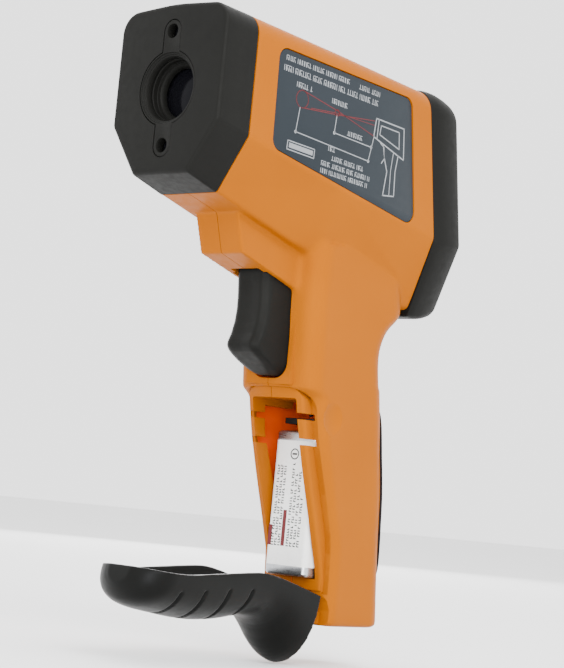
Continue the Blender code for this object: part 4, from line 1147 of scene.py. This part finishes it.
def build_door():
    heights = steps_between(-6, 62, 44) + steps_between(62, 73.4, 18)[1:]
    door = door_solid("door_shell", heights, DOOR_CROWN, 0, -2.9, 0, 6)
    room = door_solid("door_room", steps_between(-1.2, 71.6, 60), DOOR_ROOM, 1.9, -2.3, 1, 20)
    slope = Matrix.Translation((8.8, 0, -0.7)) @ Matrix.Rotation(math.radians(5.5), 4, "Y")
    sole = box("sole", (-30, -25, -15), (40, 25, 0), slope)
    rings = []
    for height in steps_between(-8, 77, 40):
        ledge = curved(LEDGE, max(height, -2.9))[0] - 0.55
        rings.append([(ledge, 30, height), (-30, 30, height), (-30, -30, height), (ledge, -30, height)])
    clear = loft("ledge_clear", rings)
    door = combine(door, "DIFFERENCE", room, sole, clear)
    door = combine(door, "DIFFERENCE", *grip_grooves())
    door = softened(door, 0.36, 5)
    cuts = [box("heel_gap", (0, -11.2, -9), (22.4, 11.2, 5.6)),
            cylinder("pin_bore", 1.3, (HINGE_X, -12.5, HINGE_Z), (HINGE_X, 12.5, HINGE_Z), 32),
            cylinder("tip_hole", 1.5, (24, 0, TIP_HOLE_Z), (32.6, 0, TIP_HOLE_Z), 40),
            ball("tip_dimple", 1.7, (28.2, 0, 53.4))]
    door = combine(door, "DIFFERENCE", *cuts)
    tabs = []
    for height in CATCHES:
        ledge = curved(LEDGE, height)[0]
        for side in (-1, 1):
            low, high = sorted((side * 10.6, side * 12.4))
            tabs.append(box("tab", (ledge - 0.4, low, height - 0.75), (ledge + 5, high, height + 0.75)))
    door = combine(door, "UNION", *tabs)
    ring = turned("tip_ring", [(29.7, 1.5), (28.7, 1.5), (28.5, 1.7), (28.5, 2.2), (28.7, 2.4),
                               (29.7, 2.4)], TIP_HOLE_Z, 48)
    door = combine(door, "UNION", ring)
    swing = (Matrix.Translation(Vector((HINGE_X, 0, HINGE_Z)) * MM)
             @ Matrix.Rotation(math.radians(DOOR_OPEN), 4, "Y")
             @ Matrix.Translation(Vector((-HINGE_X, 0, -HINGE_Z)) * MM))
    door.data.transform(swing)
    shown(door, "door", "battery_door", body="battery_door", angle=40)


# ---- what stays from the frame
KEPT = {
    "optics_frame": "dark", "infrared_sensor": "steel", "sensor_board": "board", "display_board": "board",
    "main_board": "board", "buzzer": "dark", "processor": "dark", "trigger_switch": "dark",
    "trigger_pin": "steel", "trigger_spring": "steel", "lead_red": "red_wire", "lead_black": "dark",
    "door_pin": "steel",
}


def dress_kept_nodes():
    for node, skin in KEPT.items():
        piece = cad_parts[node]
        piece.data.materials.clear()
        piece.data.materials.append(SKINS[skin])
        piece.data.shade_smooth()
        piece.data.set_sharp_from_angle(angle=math.radians(35))


# ---- stage, camera and lights
def build_stage():
    """A pale floor that runs out to the white surroundings."""
    bm = bmesh.new()
    bmesh.ops.create_circle(bm, cap_ends=True, segments=128, radius=6)
    mesh = bpy.data.meshes.new("floor")
    bm.to_mesh(mesh)
    bm.free()
    floor = link("floor", mesh)
    floor.location.z = cad_box[0][2] - 0.0004
    made, tree, shader, where = new_material("pale_floor", (0.80, 0.80, 0.80), 0.8, specular=0.1)
    tree.links.new(tinted(tree, noise_node(tree, where, 3), (0.795, 0.795, 0.795), (0.805, 0.805, 0.805)),
                   shader.inputs["Base Color"])
    floor.data.materials.append(made)


def aimed(made, at):
    direction = Vector(at) - made.location
    made.rotation_euler = direction.to_track_quat("-Z", "Y").to_euler()


def area_light(name, place, at, size, power, colour=(1, 1, 1)):
    light = bpy.data.lights.new(name, "AREA")
    light.shape = "DISK"
    light.size = size
    light.energy = power
    light.color = colour
    made = link(name, light)
    made.location = place
    aimed(made, at)


def build_view():
    yaw, pitch, roll = math.radians(42.02), math.radians(-5.06), math.radians(5.49)
    back = Vector((math.cos(yaw) * math.cos(pitch), math.sin(yaw) * math.cos(pitch), math.sin(pitch)))
    right = Vector((0, 0, 1)).cross(back).normalized()
    up = back.cross(right)
    turned_right = right * math.cos(roll) + up * math.sin(roll)
    turned_up_axis = up * math.cos(roll) - right * math.sin(roll)
    data = bpy.data.cameras.new("camera")
    data.sensor_fit = "VERTICAL"
    data.sensor_height = 36
    data.lens = 105.33
    data.clip_start = 0.01
    data.clip_end = 20
    camera = link("camera", data)
    axes = Matrix((turned_right, turned_up_axis, back)).transposed().to_4x4()
    camera.matrix_world = Matrix.Translation((0.48928, 0.41517, 0.03604)) @ axes
    bpy.context.scene.camera = camera

    centre = (0.02, 0, 0.09)
    area_light("key", (0.55, 0.95, 0.85), centre, 0.8, 21)
    area_light("front_fill", (0.80, 0.50, 0.12), centre, 0.5, 9)
    area_light("top", (-0.1, -0.1, 1.2), centre, 0.9, 8)
    area_light("back_fill", (-0.9, -0.9, 0.5), centre, 0.9, 10)
    world = bpy.data.worlds.new("studio")
    world.use_nodes = True
    world.node_tree.nodes["Background"].inputs["Color"].default_value = (1, 1, 1, 1)
    world.node_tree.nodes["Background"].inputs["Strength"].default_value = 2.45
    bpy.context.scene.world = world


def main():
    build_housing()
    build_labels()
    build_pad()
    build_screws()
    build_nose()
    build_rear()
    build_trigger()
    build_battery()
    build_door()
    dress_kept_nodes()
    build_stage()
    build_view()


main()
